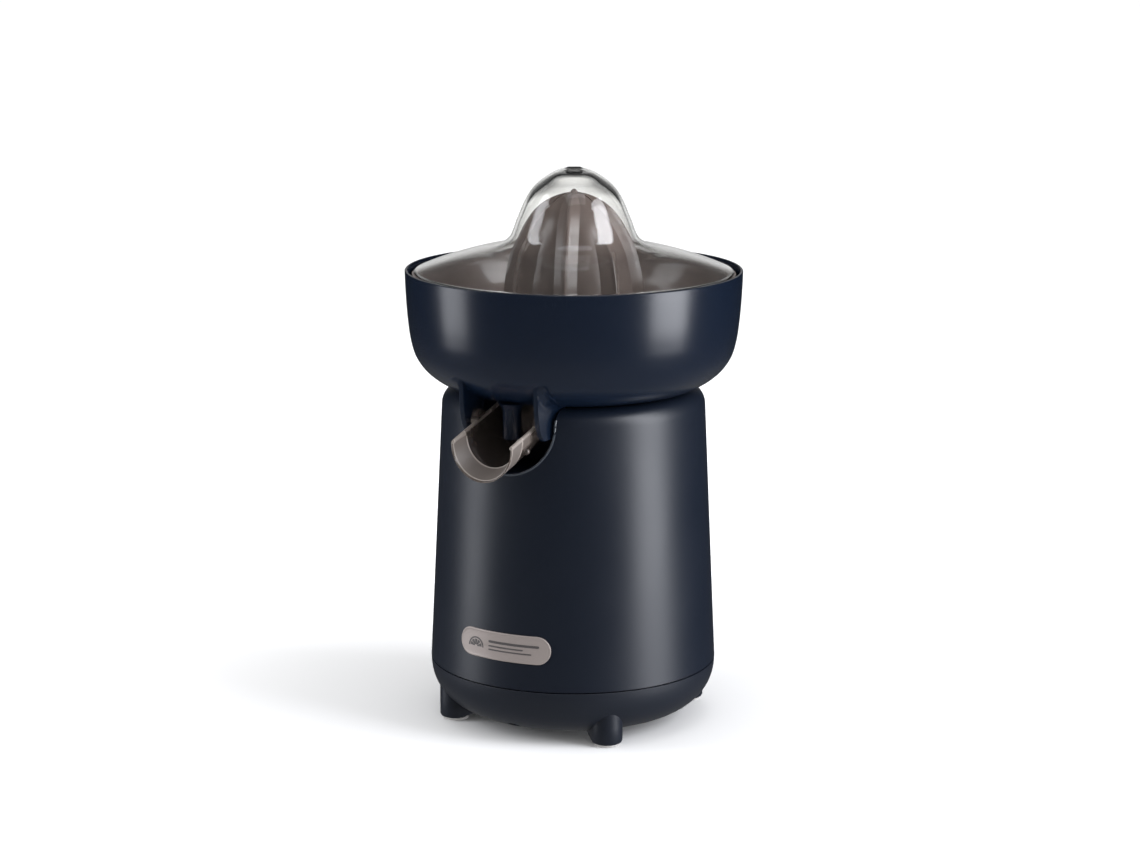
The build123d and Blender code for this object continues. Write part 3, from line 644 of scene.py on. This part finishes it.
# left end, right end, middle and half height of each bar
badgeBars = ((-7.5, 20.5, 1.9, 0.6), (-7.5, 12.0, -0.4, 0.32), (-7.5, 16.5, -2.2, 0.32))


def onBody(s, t, lift):
    # a point at s along and t up the body front, lifted off its skin
    z = badge["centreZ"] + t
    radius = bodyRadius(z) + lift
    angle = s / bodyRadius(badge["centreZ"]) - math.pi / 2
    return (radius * math.cos(angle), radius * math.sin(angle), z)


def stadium(inset, steps=20):
    half, reach = badge["height"] / 2 - inset, (badge["width"] - badge["height"]) / 2
    ring = [(reach + half * math.sin(a), -half * math.cos(a)) for a in halfTurn(steps)]
    ring += [(reach * (1 - 2 * k / 24), half) for k in range(1, 24)]
    ring += [(-reach - half * math.sin(a), half * math.cos(a)) for a in halfTurn(steps)]
    ring += [(-reach * (1 - 2 * k / 24), -half) for k in range(1, 24)]
    return ring


def flatMark(lower, upper, lift):
    # a thin raised strip on the badge between two lines of as many points in (s, t)
    count = len(lower)
    vertices = [onBody(*p, h) for h in (lift - 0.2, lift) for line in (lower, upper) for p in line]
    faces = []
    for k in range(count - 1):
        faces.append((2 * count + k, 2 * count + k + 1, 3 * count + k + 1, 3 * count + k))
        faces.append((k + 1, k, count + k, count + k + 1))
        faces.append((k, k + 1, 2 * count + k + 1, 2 * count + k))
        faces.append((count + k + 1, count + k, 3 * count + k, 3 * count + k + 1))
    faces.append((0, 2 * count, 3 * count, count))
    faces.append((count - 1, 2 * count - 1, 4 * count - 1, 3 * count - 1))
    return vertices, faces


def arcLine(centre, radius, start, end, steps):
    return [(centre[0] + radius * math.cos(math.radians(start + (end - start) * k / steps)),
             centre[1] + radius * math.sin(math.radians(start + (end - start) * k / steps)))
            for k in range(steps + 1)]


def barLines(left, right, middle, half, steps=24):
    # lower and upper line of a bar with round ends
    lower, upper = [], []
    for k in range(steps + 1):
        x = left + (right - left) * (1 - math.cos(math.pi * k / steps)) / 2
        near = min(x - left, right - x)
        high = half if near > half else math.sqrt(max(0.0, half * half - (half - near) ** 2))
        lower.append((x, middle - high - 0.01))
        upper.append((x, middle + high + 0.01))
    return lower, upper


def buildBadge():
    lifts = ((0.0, -0.3), (0.0, 0.45), (0.12, 0.62), (0.35, 0.7), (0.9, 0.7), (1.05, 0.62), (1.25, 0.6),
             (3.5, 0.6), (5.5, 0.6), (7.1, 0.6))
    rings = [[onBody(s, t, lift) for s, t in stadium(inset)] for inset, lift in lifts]
    plate = joinParts("badgePlate", [loft(rings)])
    centre, share = badge["markCentre"], 180 / badge["segments"]
    strips = [[arcLine(centre, radius, 0, 180, 24) for radius in badge["rind"]]]
    strips += [[arcLine(centre, radius, share * k + 5, share * (k + 1) - 5, 5) for radius in badge["segment"]]
               for k in range(badge["segments"])]
    strips += [barLines(*bar) for bar in badgeBars]
    marks = joinParts("badgeMark", [flatMark(lower, upper, badge["face"] + badge["mark"]) for lower, upper in strips])
    return plate, marks


badgePlate, badgeMark = buildBadge()
place(badgePlate, "housing", finish["badgeSatin"], ["badge"])
place(badgeMark, "housing", finish["markInk"])
print("badge made")


# ---- collector bowl ----

bowl = dict(rimZ=232.8, rimWall=1.5, wall=2.2, floorZ=172.9,
            chimneyInner=9.3, chimney=11.2, chimneyTopZ=210.0, shoulderRadius=13.4, shoulderZ=203.8,
            outletY=-62.0, outletRadius=4.5, outletBore=3.0, outletZ=156.0, earInner=20.0, earOuter=22.5)
ear = dict(backY=-56.0, frontY=-76.0, lowZ=158.0, backRound=3.0, backRise=1.6, frontRound=8.5, frontRise=28.0,
           roundPower=2.3, flare=6.0)
bowlSide = [(86.0, 232.8), (85.8, 226), (85.2, 215), (84.4, 206), (83.3, 198), (81.2, 190.2), (77.4, 184),
            (72.6, 179.4), (67.0, 175.9), (61.4, 173.6), (56.0, 172.9)]


def bowlBottom(r):
    # height of the bowl's outside at a radius
    for (r1, z1), (r2, z2) in zip(bowlSide, bowlSide[1:]):
        if r2 <= r <= r1:
            return z2 + (z1 - z2) * (r - r2) / (r1 - r2)
    return bowl["floorZ"]


def bowlOutline():
    outer = smoothThrough(bowlSide, 5)
    inner = []
    for r, z in reversed(outer):
        deep = (bowl["rimZ"] - z) / (bowl["rimZ"] - bowl["floorZ"])
        wall = bowl["rimWall"] + (bowl["wall"] - bowl["rimWall"]) * min(1, deep * 4)
        inner.append((r - wall * (1 - deep ** 6 * 0.9), z + wall * deep ** 3))
    hub = [(bowl["chimneyInner"], bowl["floorZ"]), (bowl["chimneyInner"], bowl["chimneyTopZ"] - 0.4),
           (bowl["chimneyInner"] + 0.4, bowl["chimneyTopZ"]), (bowl["chimney"] - 0.4, bowl["chimneyTopZ"]),
           (bowl["chimney"], bowl["chimneyTopZ"] - 0.4), (bowl["chimney"], bowl["shoulderZ"]),
           (bowl["shoulderRadius"] - 0.4, bowl["shoulderZ"]), (bowl["shoulderRadius"], bowl["shoulderZ"] - 0.4),
           (bowl["shoulderRadius"], bowl["floorZ"] + bowl["wall"] + 3),
           (bowl["shoulderRadius"] + 0.9, bowl["floorZ"] + bowl["wall"] + 0.9),
           (bowl["shoulderRadius"] + 3, bowl["floorZ"] + bowl["wall"])]
    rimTop = [(inner[-1][0] + 0.25, bowl["rimZ"]), (outer[0][0] - 0.3, bowl["rimZ"])]
    inner[-1] = (inner[-1][0], bowl["rimZ"] - 0.35)
    outer[0] = (outer[0][0], bowl["rimZ"] - 0.35)
    return outer + hub + inner + rimTop


def earParts(side):
    # plate under the bowl, rounded below, that flares into the bowl on its outer face
    rings = []
    for k in range(25):
        y = ear["backY"] + (ear["frontY"] - ear["backY"]) * k / 24
        low = ear["lowZ"]
        if y > ear["backY"] - ear["backRound"]:
            low += ear["backRise"] * ((y - ear["backY"]) / ear["backRound"] + 1) ** 2
        elif y < ear["frontY"] + ear["frontRound"]:
            share = min(1.0, (ear["frontY"] - y) / ear["frontRound"] + 1)
            low += ear["frontRise"] * (1 - math.sqrt(max(0.0, 1 - share ** ear["roundPower"])))
        top = bowlBottom(math.hypot(22, y))
        low = min(low, top - 0.5)
        flare = min(ear["flare"], top - low)
        inside, outside = bowl["earInner"], bowl["earOuter"]
        edge = [(outside - 0.35, low), (outside, low + 0.35)]
        edge += [(outside + flare * (1 - math.cos(a / 2)) * 0.75, top - flare + flare * math.sin(a / 2) * 1.05)
                 for a in halfTurn(7)]
        edge += [(outside + flare * 0.75, top + 1.0), (inside, top + 1.0), (inside, low + 0.35), (inside + 0.35, low)]
        rings.append([(side * x, y, z) for x, z in edge])
    return loft(rings)


def buildBowl():
    outline = bowlOutline()
    low, radius = bowl["outletZ"], bowl["outletRadius"]
    outletOutline = [(0.0, low), (radius - 0.4, low), (radius, low + 0.4), (radius + 0.15, 170.5),
                     (radius + 1.2, 172.6), (radius + 2.6, 174.2), (0.0, 174.6)]
    piece = turnedPiece("collectorBowl", outline, 224)
    outlet = joinParts("outletTube", [spin(outletOutline, 40, (0, bowl["outletY"]))])
    borePath = circle(0, bowl["outletY"], bowl["outletBore"], 28)
    for pierced in (piece, outlet):
        cutAway(pierced, joinParts("outletCutter", [upright(borePath, (150, 186))]))
    return piece, outlet, joinParts("bowlEars", [earParts(-1), earParts(1)])


bowlPiece, outletTube, bowlEars = buildBowl()
place(bowlPiece, "bowl", finish["navyGloss"], ["collector_bowl"])
place(outletTube, "bowl", finish["navyGloss"])
place(bowlEars, "bowl", finish["navyGloss"])
print("collector bowl made")


# ---- spout ----

spout = dict(halfWidth=17.2, depth=17.95, wall=1.6, lipZone=11.0, step=1.0, slope=15.0,
             lipY=-91.8, lipTopZ=158.0, pivotY=-65.0, pivotZ=166.5, lip=0.65, band=1.1, rimBead=0.95,
             stepBead=0.4, bandLine=0.22, lug=4.0, lugFoot=7.0, pin=2.0, pinEnd=21.2, stop=1.7)
spoutStop = (15.3, -74.0, 153.4)    # small bead on each side that the spout rests on


def channelPoint(turn, along, inset):
    # a point of the channel: turn runs from the left top edge (0) over the floor to the right one (1)
    half = spout["halfWidth"] - inset
    straight = spout["depth"] - spout["halfWidth"]
    total = math.pi * spout["halfWidth"] + 2 * straight
    path = turn * total
    if path < straight:
        x, z = -half, -path
    elif path > total - straight:
        x, z = half, path - total
    else:
        a = (path - straight) / spout["halfWidth"]
        x, z = -half * math.cos(a), -straight - half * math.sin(a)
    tilt = math.radians(spout["slope"])
    return Vector((x, spout["lipY"] + along * math.cos(tilt),
                   spout["lipTopZ"] + along * math.sin(tilt) + z / math.cos(tilt)))


def channelWall(along):
    # thin at the lip, thickest at the foot of the pouring zone, then a step down to the deeper channel
    if along < spout["lipZone"]:
        return spout["lip"] + (spout["wall"] + spout["step"] - spout["lip"]) * along / spout["lipZone"]
    return spout["wall"]


def channelSection(along, around, edge=0.0):
    outer = [channelPoint(t / around, along, edge) for t in range(around + 1)]
    inner = [channelPoint(t / around, along, channelWall(along) - edge) for t in range(around + 1)]
    return outer + inner[::-1]


def roundBar(y, z, steps, ends):
    # bar across the machine with a radius at each x
    return loft([[(x, y + radius * math.cos(b), z + radius * math.sin(b)) for b in fullTurn(steps)]
                 for x, radius in ends])


def buildSpout():
    around = 56
    stations = [0.2, 0.5, 0.8, 1.1, 2, 3.5, 5, 7, 9, 10.6, 11.0, 11.2, 14, 20, 27, 34, 41, 47, 51.0]
    sections = [channelSection(0.0, around, 0.18)] + [channelSection(s, around) for s in stations]
    trough = loft(sections)
    backPlate = loft([[channelPoint(t / around, s, inset) for t in range(around + 1)]
                      for s, inset in ((50.4, 0.3), (51.6, 0.0), (52.0, 0.3))])
    parts = [trough, backPlate]
    edge = spout["wall"] / 2
    for turn in (0.0, 1.0):
        line = [channelPoint(turn, s, edge) for s in (0.9, 6, 12, 20, 30, 40, 51.0)]
        parts.append(tube([(p.x, p.y, p.z - 0.15) for p in line], spout["rimBead"], 12))
    for along, inset, radius in (
            (spout["lipZone"], spout["wall"] + spout["step"] * 0.8, spout["stepBead"]),
            (spout["band"], channelWall(spout["band"]) - 0.05, spout["bandLine"])):
        parts.append(tube([channelPoint(0.03 + 0.94 * t / 40, along, inset) for t in range(41)], radius, 8))
    y, z = spout["pivotY"], spout["pivotZ"]
    for side in (-1, 1):
        x0, x1 = side * (spout["halfWidth"] - spout["wall"]), side * (bowl["earInner"] - 0.4)
        parts.append(roundBar(y, z - 0.5, 28, ((x0, spout["lug"] - 0.4), (x0 + side * 0.3, spout["lug"]),
                                               (x1 - side * 0.3, spout["lug"]), (x1, spout["lug"] - 0.4))))
        parts.append(loft([[(x, y + dy, z + dz) for dy, dz in (
            (-spout["lug"], -spout["lugFoot"]), (spout["lug"], -spout["lugFoot"]),
            (spout["lug"], -0.5), (-spout["lug"], -0.5))] for x in (x0, x1)]))
        pin, end = spout["pin"], spout["pinEnd"]
        parts.append(roundBar(y, z, 24, ((x1 - side * 0.2, pin), (side * (end - 0.3), pin), (side * end, pin - 0.3))))
        stopX, stopY, stopZ = spoutStop
        parts.append(loft([[(side * stopX + spout["stop"] * math.sin(a) * math.cos(b) * 0.9,
                             stopY + spout["stop"] * math.cos(a), stopZ + spout["stop"] * math.sin(a) * math.sin(b))
                            for b in fullTurn(16)] for a in halfTurn(8)]))
    return joinParts("spoutChannel", parts)


spoutPiece = buildSpout()
place(spoutPiece, "spout", finish["taupeClear"], ["spout"])
print("spout made")


# ---- strainer ----

strainer = dict(rimRadius=82.4, rimZ=231.0, floorZ=204.2, wall=1.6, hubInner=11.6, hub=13.6, hubTopZ=213.8,
                slotFrom=39.5, slotTo=54.0, slotWidth=1.6, slots=36)


def buildStrainer():
    floor, wall = strainer["floorZ"], strainer["wall"]
    side = smoothThrough([(54.0, floor), (60.0, floor + 0.8), (66.0, floor + 3), (71.5, floor + 7.0),
                          (75.4, floor + 12.5), (78.4, floor + 18.5), (80.2, floor + 22.4)], 5)
    inner = [(r - wall * (0.15 + 0.85 * (z - floor) / 22.4), z + wall * (1 - 0.55 * (z - floor) / 22.4))
             for r, z in reversed(side)]
    edge, top, hubOuter, hubTop = strainer["rimRadius"], strainer["rimZ"], strainer["hub"], strainer["hubTopZ"]
    rim = [(80.9, top - 3.0), (edge - 0.2, top - 2.6), (edge, top - 2.2), (edge, top - 0.3), (edge - 0.3, top),
           (edge - 0.6, top), (edge - 0.8, top - 0.3), (edge - 0.8, top - 1.3), (80.2 - wall + 0.6, top - 1.4),
           (80.2 - wall, top - 2.0)]
    dish = spin(side + rim + inner, 192)
    hub = [(strainer["hubInner"], floor), (strainer["slotFrom"], floor), (strainer["slotFrom"], floor + wall),
           (hubOuter + 2.2, floor + wall), (hubOuter + 0.6, floor + wall + 0.6), (hubOuter, floor + wall + 2.2),
           (hubOuter, hubTop - 0.4), (hubOuter - 0.4, hubTop), (strainer["hubInner"] + 0.4, hubTop),
           (strainer["hubInner"], hubTop - 0.4)]
    return joinParts("strainerDish", [dish, spin(hub, 120)])


def strainerBars(tree, inputs):
    # one bar between two slots, tapered towards the hub, then repeated round the floor
    bar = addNode(tree, "GeometryNodeMeshCube", {"Vertices X": 6, "Vertices Y": 4, "Size": (1, 1, 1)})
    spot = tree.nodes.new("ShaderNodeSeparateXYZ")
    plug(tree, addNode(tree, "GeometryNodeInputPosition"), spot.inputs[0])
    out, side, up = (Wire(tree, socket) for socket in spot.outputs)
    radius = inputs["Inner Radius"] + (out + 0.5) * (inputs["Outer Radius"] - inputs["Inner Radius"])
    width = radius * (2 * math.pi) / inputs["Count"] - inputs["Slot Width"]
    spread = addNode(tree, "ShaderNodeCombineXYZ", {
        0: radius, 1: side * width, 2: inputs["Level"] + up * inputs["Thickness"]})
    shape = addNode(tree, "GeometryNodeSetPosition", {"Geometry": bar, "Position": spread})
    points = addNode(tree, "GeometryNodeMeshLine", {"Offset": (0, 0, 0), "Count": inputs["Count"]})
    turn = addNode(tree, "GeometryNodeInputIndex") * (2 * math.pi) / inputs["Count"]
    return addNode(tree, "GeometryNodeInstanceOnPoints", {
        "Points": points, "Instance": shape, "Rotation": addNode(tree, "ShaderNodeCombineXYZ", {2: turn})})


strainerDish = buildStrainer()
place(strainerDish, "strainer", finish["taupePlastic"], ["strainer"])
strainerGrid = growTree("strainerGrid", {
    "Count": ("Int", strainer["slots"]),
    "Inner Radius": ("Float", (strainer["slotFrom"] - 0.2) * mm),
    "Outer Radius": ("Float", (strainer["slotTo"] + 0.4) * mm),
    "Slot Width": ("Float", strainer["slotWidth"] * mm),
    "Level": ("Float", (strainer["floorZ"] + strainer["wall"] / 2) * mm),
    "Thickness": ("Float", strainer["wall"] * mm),
}, strainerBars, finish["taupePlastic"])
place(strainerGrid, "strainer")
print("strainer made")


# ---- reaming cone ----

cone = dict(footRadius=36.5, footZ=212.0, height=61.4, ogive=1.95, ribs=8, bladeHeight=4.6, bladeHalf=6.2,
            crest=0.55, bladePower=0.66, firstRib=-68.7, wall=2.2, secondFade=0.66, socketRadius=9.6,
            socketLow=219.5, socketTop=236.5, socketFlats=13.12, columns=641, rows=112)
coneTip = [(0.0, 269.6), (4.2, 269.6), (2.9, 272.3), (1.5, 273.8), (0.8, 274.5), (0.0, 274.7)]


def coneSurface(tree, inputs):
    # a sheet wrapped round the cone: up its outside, over the foot's rim and back up the hollow
    grid = addNode(tree, "GeometryNodeMeshGrid", {
        "Vertices X": cone["columns"], "Vertices Y": cone["rows"], "Size X": 1, "Size Y": 1})
    split = tree.nodes.new("ShaderNodeSeparateXYZ")
    plug(tree, addNode(tree, "GeometryNodeInputPosition"), split.inputs[0])
    turned = (Wire(tree, split.outputs[0]) + 0.5) * (2 * math.pi)
    around = turned + inputs["First Rib"]
    along = Wire(tree, split.outputs[1]) + 0.5
    inside = calc(tree, "GREATER_THAN", along, 0.72)
    closing = calc(tree, "GREATER_THAN", along, 0.9999)
    rise = along / 0.72 * (1 - inside) + (0.99 - along) / 0.27 * inside
    rise = rise.atLeast(0.0).atMost(1.0)
    high = calc(tree, "SINE", rise * (math.pi / 2))
    narrowing = calc(tree, "POWER", high, inputs["Ogive"])
    reach = calc(tree, "SQRT", (1 - narrowing).atLeast(0.0)) * inputs["Foot Radius"]
    step = turned * inputs["Ribs"] / (2 * math.pi)
    nearest = calc(tree, "ROUND", step)
    distance = abs(step - nearest) * reach * (2 * math.pi) / inputs["Ribs"]
    odd = abs(calc(tree, "MODULO", nearest, 2.0))
    fadeTop = ((inputs["Second Fade"] - high) * 5.0).atLeast(0.0).atMost(1.0)
    keep = (1 - odd) + odd * fadeTop
    # a sharp blade on each rib with a rounded flute between
    flank = (distance - inputs["Crest"]).atLeast(0.0)
    slope = (flank / inputs["Blade Half"]).atMost(1.0)
    blade = 1 - calc(tree, "POWER", slope, cone["bladePower"])
    depth = inputs["Blade Height"].atMost(reach * 0.3)
    sink = (depth * (1 - blade * keep)).atMost(reach * 0.5)
    inner = reach * (1 - (inputs["Wall"] * 0.8 + inputs["Blade Height"]) / inputs["Foot Radius"])
    useInner = inside * (1 - closing)
    radius = (reach - sink) * (1 - useInner) + inner * useInner
    tall = inputs["Height"] - inputs["Wall"] * 2.2 * useInner
    spread = addNode(tree, "ShaderNodeCombineXYZ", {
        0: radius * calc(tree, "COSINE", around), 1: radius * calc(tree, "SINE", around),
        2: inputs["Foot Level"] + high * tall})
    shape = addNode(tree, "GeometryNodeSetPosition", {"Geometry": grid, "Position": spread})
    return addNode(tree, "GeometryNodeMergeByDistance", {"Geometry": shape, "Distance": 0.000002})


conePiece = growTree("reamingCone", {
    "Foot Radius": ("Float", cone["footRadius"] * mm),
    "Foot Level": ("Float", cone["footZ"] * mm),
    "Height": ("Float", cone["height"] * mm),
    "Ogive": ("Float", cone["ogive"]),
    "Ribs": ("Float", float(cone["ribs"])),
    "First Rib": ("Float", math.radians(cone["firstRib"])),
    "Blade Height": ("Float", cone["bladeHeight"] * mm),
    "Blade Half": ("Float", cone["bladeHalf"] * mm),
    "Crest": ("Float", cone["crest"] * mm),
    "Second Fade": ("Float", cone["secondFade"]),
    "Wall": ("Float", cone["wall"] * mm),
}, coneSurface, finish["taupeGloss"])
smoothShade(conePiece, 24)
place(conePiece, "cone", None, ["cone"])
place(turnedPiece("coneTip", coneTip, 32), "cone", finish["taupeGloss"])


def buildSocket():
    # six-sided socket tube inside the cone, with four webs to its wall
    low, top = cone["socketLow"], cone["socketTop"]
    turns = fullTurn(60)

    def hexPoint(a, z):
        sector = (a + math.pi / 6) % (math.pi / 3) - math.pi / 6
        r = cone["socketFlats"] / 2 / math.cos(sector)
        return (r * math.cos(a), r * math.sin(a), z)

    def ringPoint(a, z, r):
        return (r * math.cos(a), r * math.sin(a), z)

    outer = cone["socketRadius"]
    rings = [[hexPoint(a, z) for a in turns] for z in (top - 2.4, low)]
    rings += [[ringPoint(a, z, r) for a in turns] for z, r in ((low, outer - 0.4), (low + 0.4, outer), (top, outer))]
    parts = [loft(rings)]
    for k in range(4):
        web = [(8.5, -0.8), (29.0, -0.8), (29.0, 0.8), (8.5, 0.8)]
        parts.append(loft([turnPoints([(x, y, z) for x, y in web], 90 * k) for z in (229.5, 236.5)]))
    return joinParts("coneSocket", parts)


place(buildSocket(), "cone", finish["taupeGloss"])
print("reaming cone made")


# ---- dust cover ----

cover = dict(wall=2.0, topWall=3.4, topFrom=266.0, edgeRadius=81.4, edgeZ=230.1, buttonRadius=3.8, buttonHeight=0.28)
coverTop = [(0, 284.5), (4.2, 284.2), (9.4, 282.8), (14.6, 279.7), (18.6, 276.6), (21.9, 272.9), (24.9, 267.8),
            (27.1, 262.7), (29.2, 257.6), (31.0, 252.6), (33.0, 248.8), (36.6, 246.0), (42.0, 244.1), (49.5, 242.4),
            (57.6, 240.3), (67.6, 237.2), (77.2, 233.8), (81.4, 232.2)]


def coverOutline():
    outer = smoothThrough(coverTop, 5)
    inner = []
    for k, (r, z) in enumerate(outer):
        before, after = outer[max(k - 1, 0)], outer[min(k + 1, len(outer) - 1)]
        along = Vector((after[0] - before[0], after[1] - before[1])).normalized()
        share = max(0.0, min(1.0, (z - cover["topFrom"]) / (outer[0][1] - cover["topFrom"])))
        wall = cover["wall"] + (cover["topWall"] - cover["wall"]) * share * share * (3 - 2 * share)
        inner.append((max(0.0, r + along.y * wall), z - along.x * wall))
    inner[0] = (0.0, outer[0][1] - cover["topWall"])
    top, radius = outer[0][1], cover["buttonRadius"]
    button = [(0.0, top + cover["buttonHeight"] - 0.05), (radius - 0.5, top + cover["buttonHeight"] - 0.06),
              (radius, top - 0.08)]
    outer = button + [p for p in outer if p[0] > radius + 0.2]
    radius, low = cover["edgeRadius"], cover["edgeZ"]
    edge = [(radius, low + 1.8), (radius - 0.15, low + 0.5), (radius - 0.6, low)]
    inner = [p for p in inner if p[0] < radius - 1.0]
    return outer[:-1] + edge + inner[::-1]


coverPiece = turnedPiece("dustCoverClear", coverOutline(), 224, sharp=50)
coverPiece.visible_shadow = False    # light goes straight through the thin clear wall
place(coverPiece, "dust_cover", finish["clearPlastic"], ["dust_cover"])
print("dust cover made")


# ---- inner pieces that repeat ----

spring = dict(low=123.3, high=136.4, radius=4.9, wire=0.55, turns=6.0)


def springWire(tree, inputs):
    spiral = addNode(tree, "GeometryNodeCurveSpiral", {
        "Resolution": 36, "Rotations": inputs["Turns"], "Start Radius": inputs["Radius"],
        "End Radius": inputs["Radius"], "Height": inputs["Height"]})
    section = addNode(tree, "GeometryNodeCurvePrimitiveCircle", {"Resolution": 10, "Radius": inputs["Wire"]})
    sweep = addNode(tree, "GeometryNodeCurveToMesh", {
        "Fill Caps": True, "Curve": spiral, "Profile Curve": section})
    lift = addNode(tree, "ShaderNodeCombineXYZ", {2: inputs["Level"]})
    return addNode(tree, "GeometryNodeTransform", {"Geometry": sweep, "Translation": lift})


springPiece = growTree("returnSpringWire", {
    "Turns": ("Float", spring["turns"]),
    "Radius": ("Float", spring["radius"] * mm),
    "Height": ("Float", (spring["high"] - spring["low"] - 2 * spring["wire"]) * mm),
    "Wire": ("Float", spring["wire"] * mm),
    "Level": ("Float", (spring["low"] + spring["wire"]) * mm),
}, springWire, finish["groundSteel"])
place(springPiece, "output_gear", None, ["return_spring"])
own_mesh(springPiece)
print("inner pieces made")


# ---- studio ----

camera = dict(distance=1.3991, height=0.448, azimuth=29.3, pitch=12.017, yaw=0.0997, roll=-0.121, lens=87.77)
studio = dict(floorSize=14.0, floorNearPaintedShade=0.74, floorFar=0.98, lampTint=(0.97, 0.99, 1.045), skyEven=1.08,
              glossFront=0.003, glossBehind=0.6, glossBelow=0.22, glossAbove=0.14,
              sidesThrough=0.12, aboveThrough=0.1)


# place round the camera's line in degrees, metres away and up, width and height, watts, and the height it looks at
softboxes = {
    "softboxRight": (67, 1.7, 0.66, 0.95, 2.2, 58, 0.3),
    "softboxLeft": (-88, 1.7, 0.66, 0.72, 2.2, 21, 0.3),
    "softboxTop": (10, 0.5, 2.2, 1.2, 1.2, 5, 0.16),
}


def aroundCamera(degrees, distance, height):
    # a point at an angle to the right of the line from the object to the camera
    a = math.radians(camera["azimuth"] + degrees)
    return Vector((distance * math.sin(a), -distance * math.cos(a), height))


def addCamera():
    data = bpy.data.cameras.new("camera")
    data.lens = camera["lens"]
    data.sensor_width = 36
    data.clip_end = 50
    eye = bpy.data.objects.new("camera", data)
    scene.collection.objects.link(eye)
    eye.location = aroundCamera(0, camera["distance"], camera["height"])
    eye.rotation_euler = (math.radians(90 - camera["pitch"]), math.radians(camera["roll"]),
                          math.radians(camera["azimuth"] + camera["yaw"]))
    scene.camera = eye


def addSoftbox(name, degrees, distance, height, width, tall, power, aimZ):
    data = bpy.data.lights.new(name, "AREA")
    data.shape = "RECTANGLE"
    data.size = width
    data.size_y = tall
    data.energy = power
    data.color = studio["lampTint"]
    lamp = bpy.data.objects.new(name, data)
    scene.collection.objects.link(lamp)
    lamp.location = aroundCamera(degrees, distance, height)
    lamp.rotation_euler = (Vector((0, 0, aimZ)) - lamp.location).to_track_quat("-Z", "Y").to_euler()


def addWorld():
    world = bpy.data.worlds.new("studio")
    scene.world = world
    world.use_nodes = True
    tree = world.node_tree
    tree.nodes.clear()
    toward = addNode(tree, "ShaderNodeTexCoord", out="Generated")
    turn = math.radians(camera["azimuth"])
    away = dotWith(tree, toward, (-math.sin(turn), math.cos(turn), 0))
    up = axisOf(tree, toward, 2)

    def glow(strength):
        return addNode(tree, "ShaderNodeBackground", {"Strength": strength, "Color": (1, 1, 1, 1)})

    def blend(share, first, second):
        return addNode(tree, "ShaderNodeMixShader", {0: share, 1: first, 2: second})

    # in reflections the room is white straight behind the object, grey below and dark elsewhere
    behind = smoothRange(tree, away, 0.955, 0.995, studio["glossFront"], studio["glossBehind"])
    below = smoothRange(tree, up, -0.12, -0.7, 0.0, studio["glossBelow"])
    above = smoothRange(tree, up, 0.4, 0.85, 0.0, studio["glossAbove"])
    # through the clear cover the backdrop is white and the sides fall off
    ahead = smoothRange(tree, away, 0.80, 0.95, studio["sidesThrough"], studio["skyEven"])
    overhead = smoothRange(tree, up, 0.04, 0.3, 1.0, studio["aboveThrough"])
    through = addNode(tree, "ShaderNodeLightPath", out="Is Transmission Ray")
    mirrored = addNode(tree, "ShaderNodeLightPath", out="Is Glossy Ray") * (1 - through)
    seen = blend(mirrored, glow(studio["skyEven"]), glow(behind + below + above))
    out = tree.nodes.new("ShaderNodeOutputWorld")
    plug(tree, blend(through, seen, glow(ahead * overhead)), out.inputs["Surface"])


def addFloor():
    half = studio["floorSize"] / 2
    mesh = bpy.data.meshes.new("floor")
    corners = [(-half, -half, 0), (half, -half, 0), (half, half, 0), (-half, half, 0)]
    mesh.from_pydata(corners, [], [(0, 1, 2, 3)])
    floor = bpy.data.objects.new("floor", mesh)
    scene.collection.objects.link(floor)
    material, tree, shader, where = newMaterial("floorPaper")
    reach = addNode(tree, "ShaderNodeVectorMath", {0: where}, "Value", operation="LENGTH")
    # painted shade: the floor is coloured darker within about 0.36 m of the object, deepening the shadow round it
    paleWithPaintedShade = smoothRange(tree, reach, 0.13, 0.36, studio["floorNearPaintedShade"], studio["floorFar"])
    paperWithPaintedShade = paleWithPaintedShade * between(tree, noiseAt(tree, where, 3), 0.985, 1.0)
    grey = addNode(tree, "ShaderNodeCombineColor", {0: paperWithPaintedShade, 1: paperWithPaintedShade, 2: paperWithPaintedShade})
    plug(tree, grey, shader.inputs["Base Color"])
    shader.inputs["Roughness"].default_value = 0.9
    shader.inputs["Specular IOR Level"].default_value = 0.1
    mesh.materials.append(material)
    floor.visible_glossy = False    # the softboxes reach below the table's edge, as in a studio
    floor.visible_shadow = False


addCamera()
addWorld()
addFloor()
for name, values in softboxes.items():
    addSoftbox(name, *values)
print("studio made")
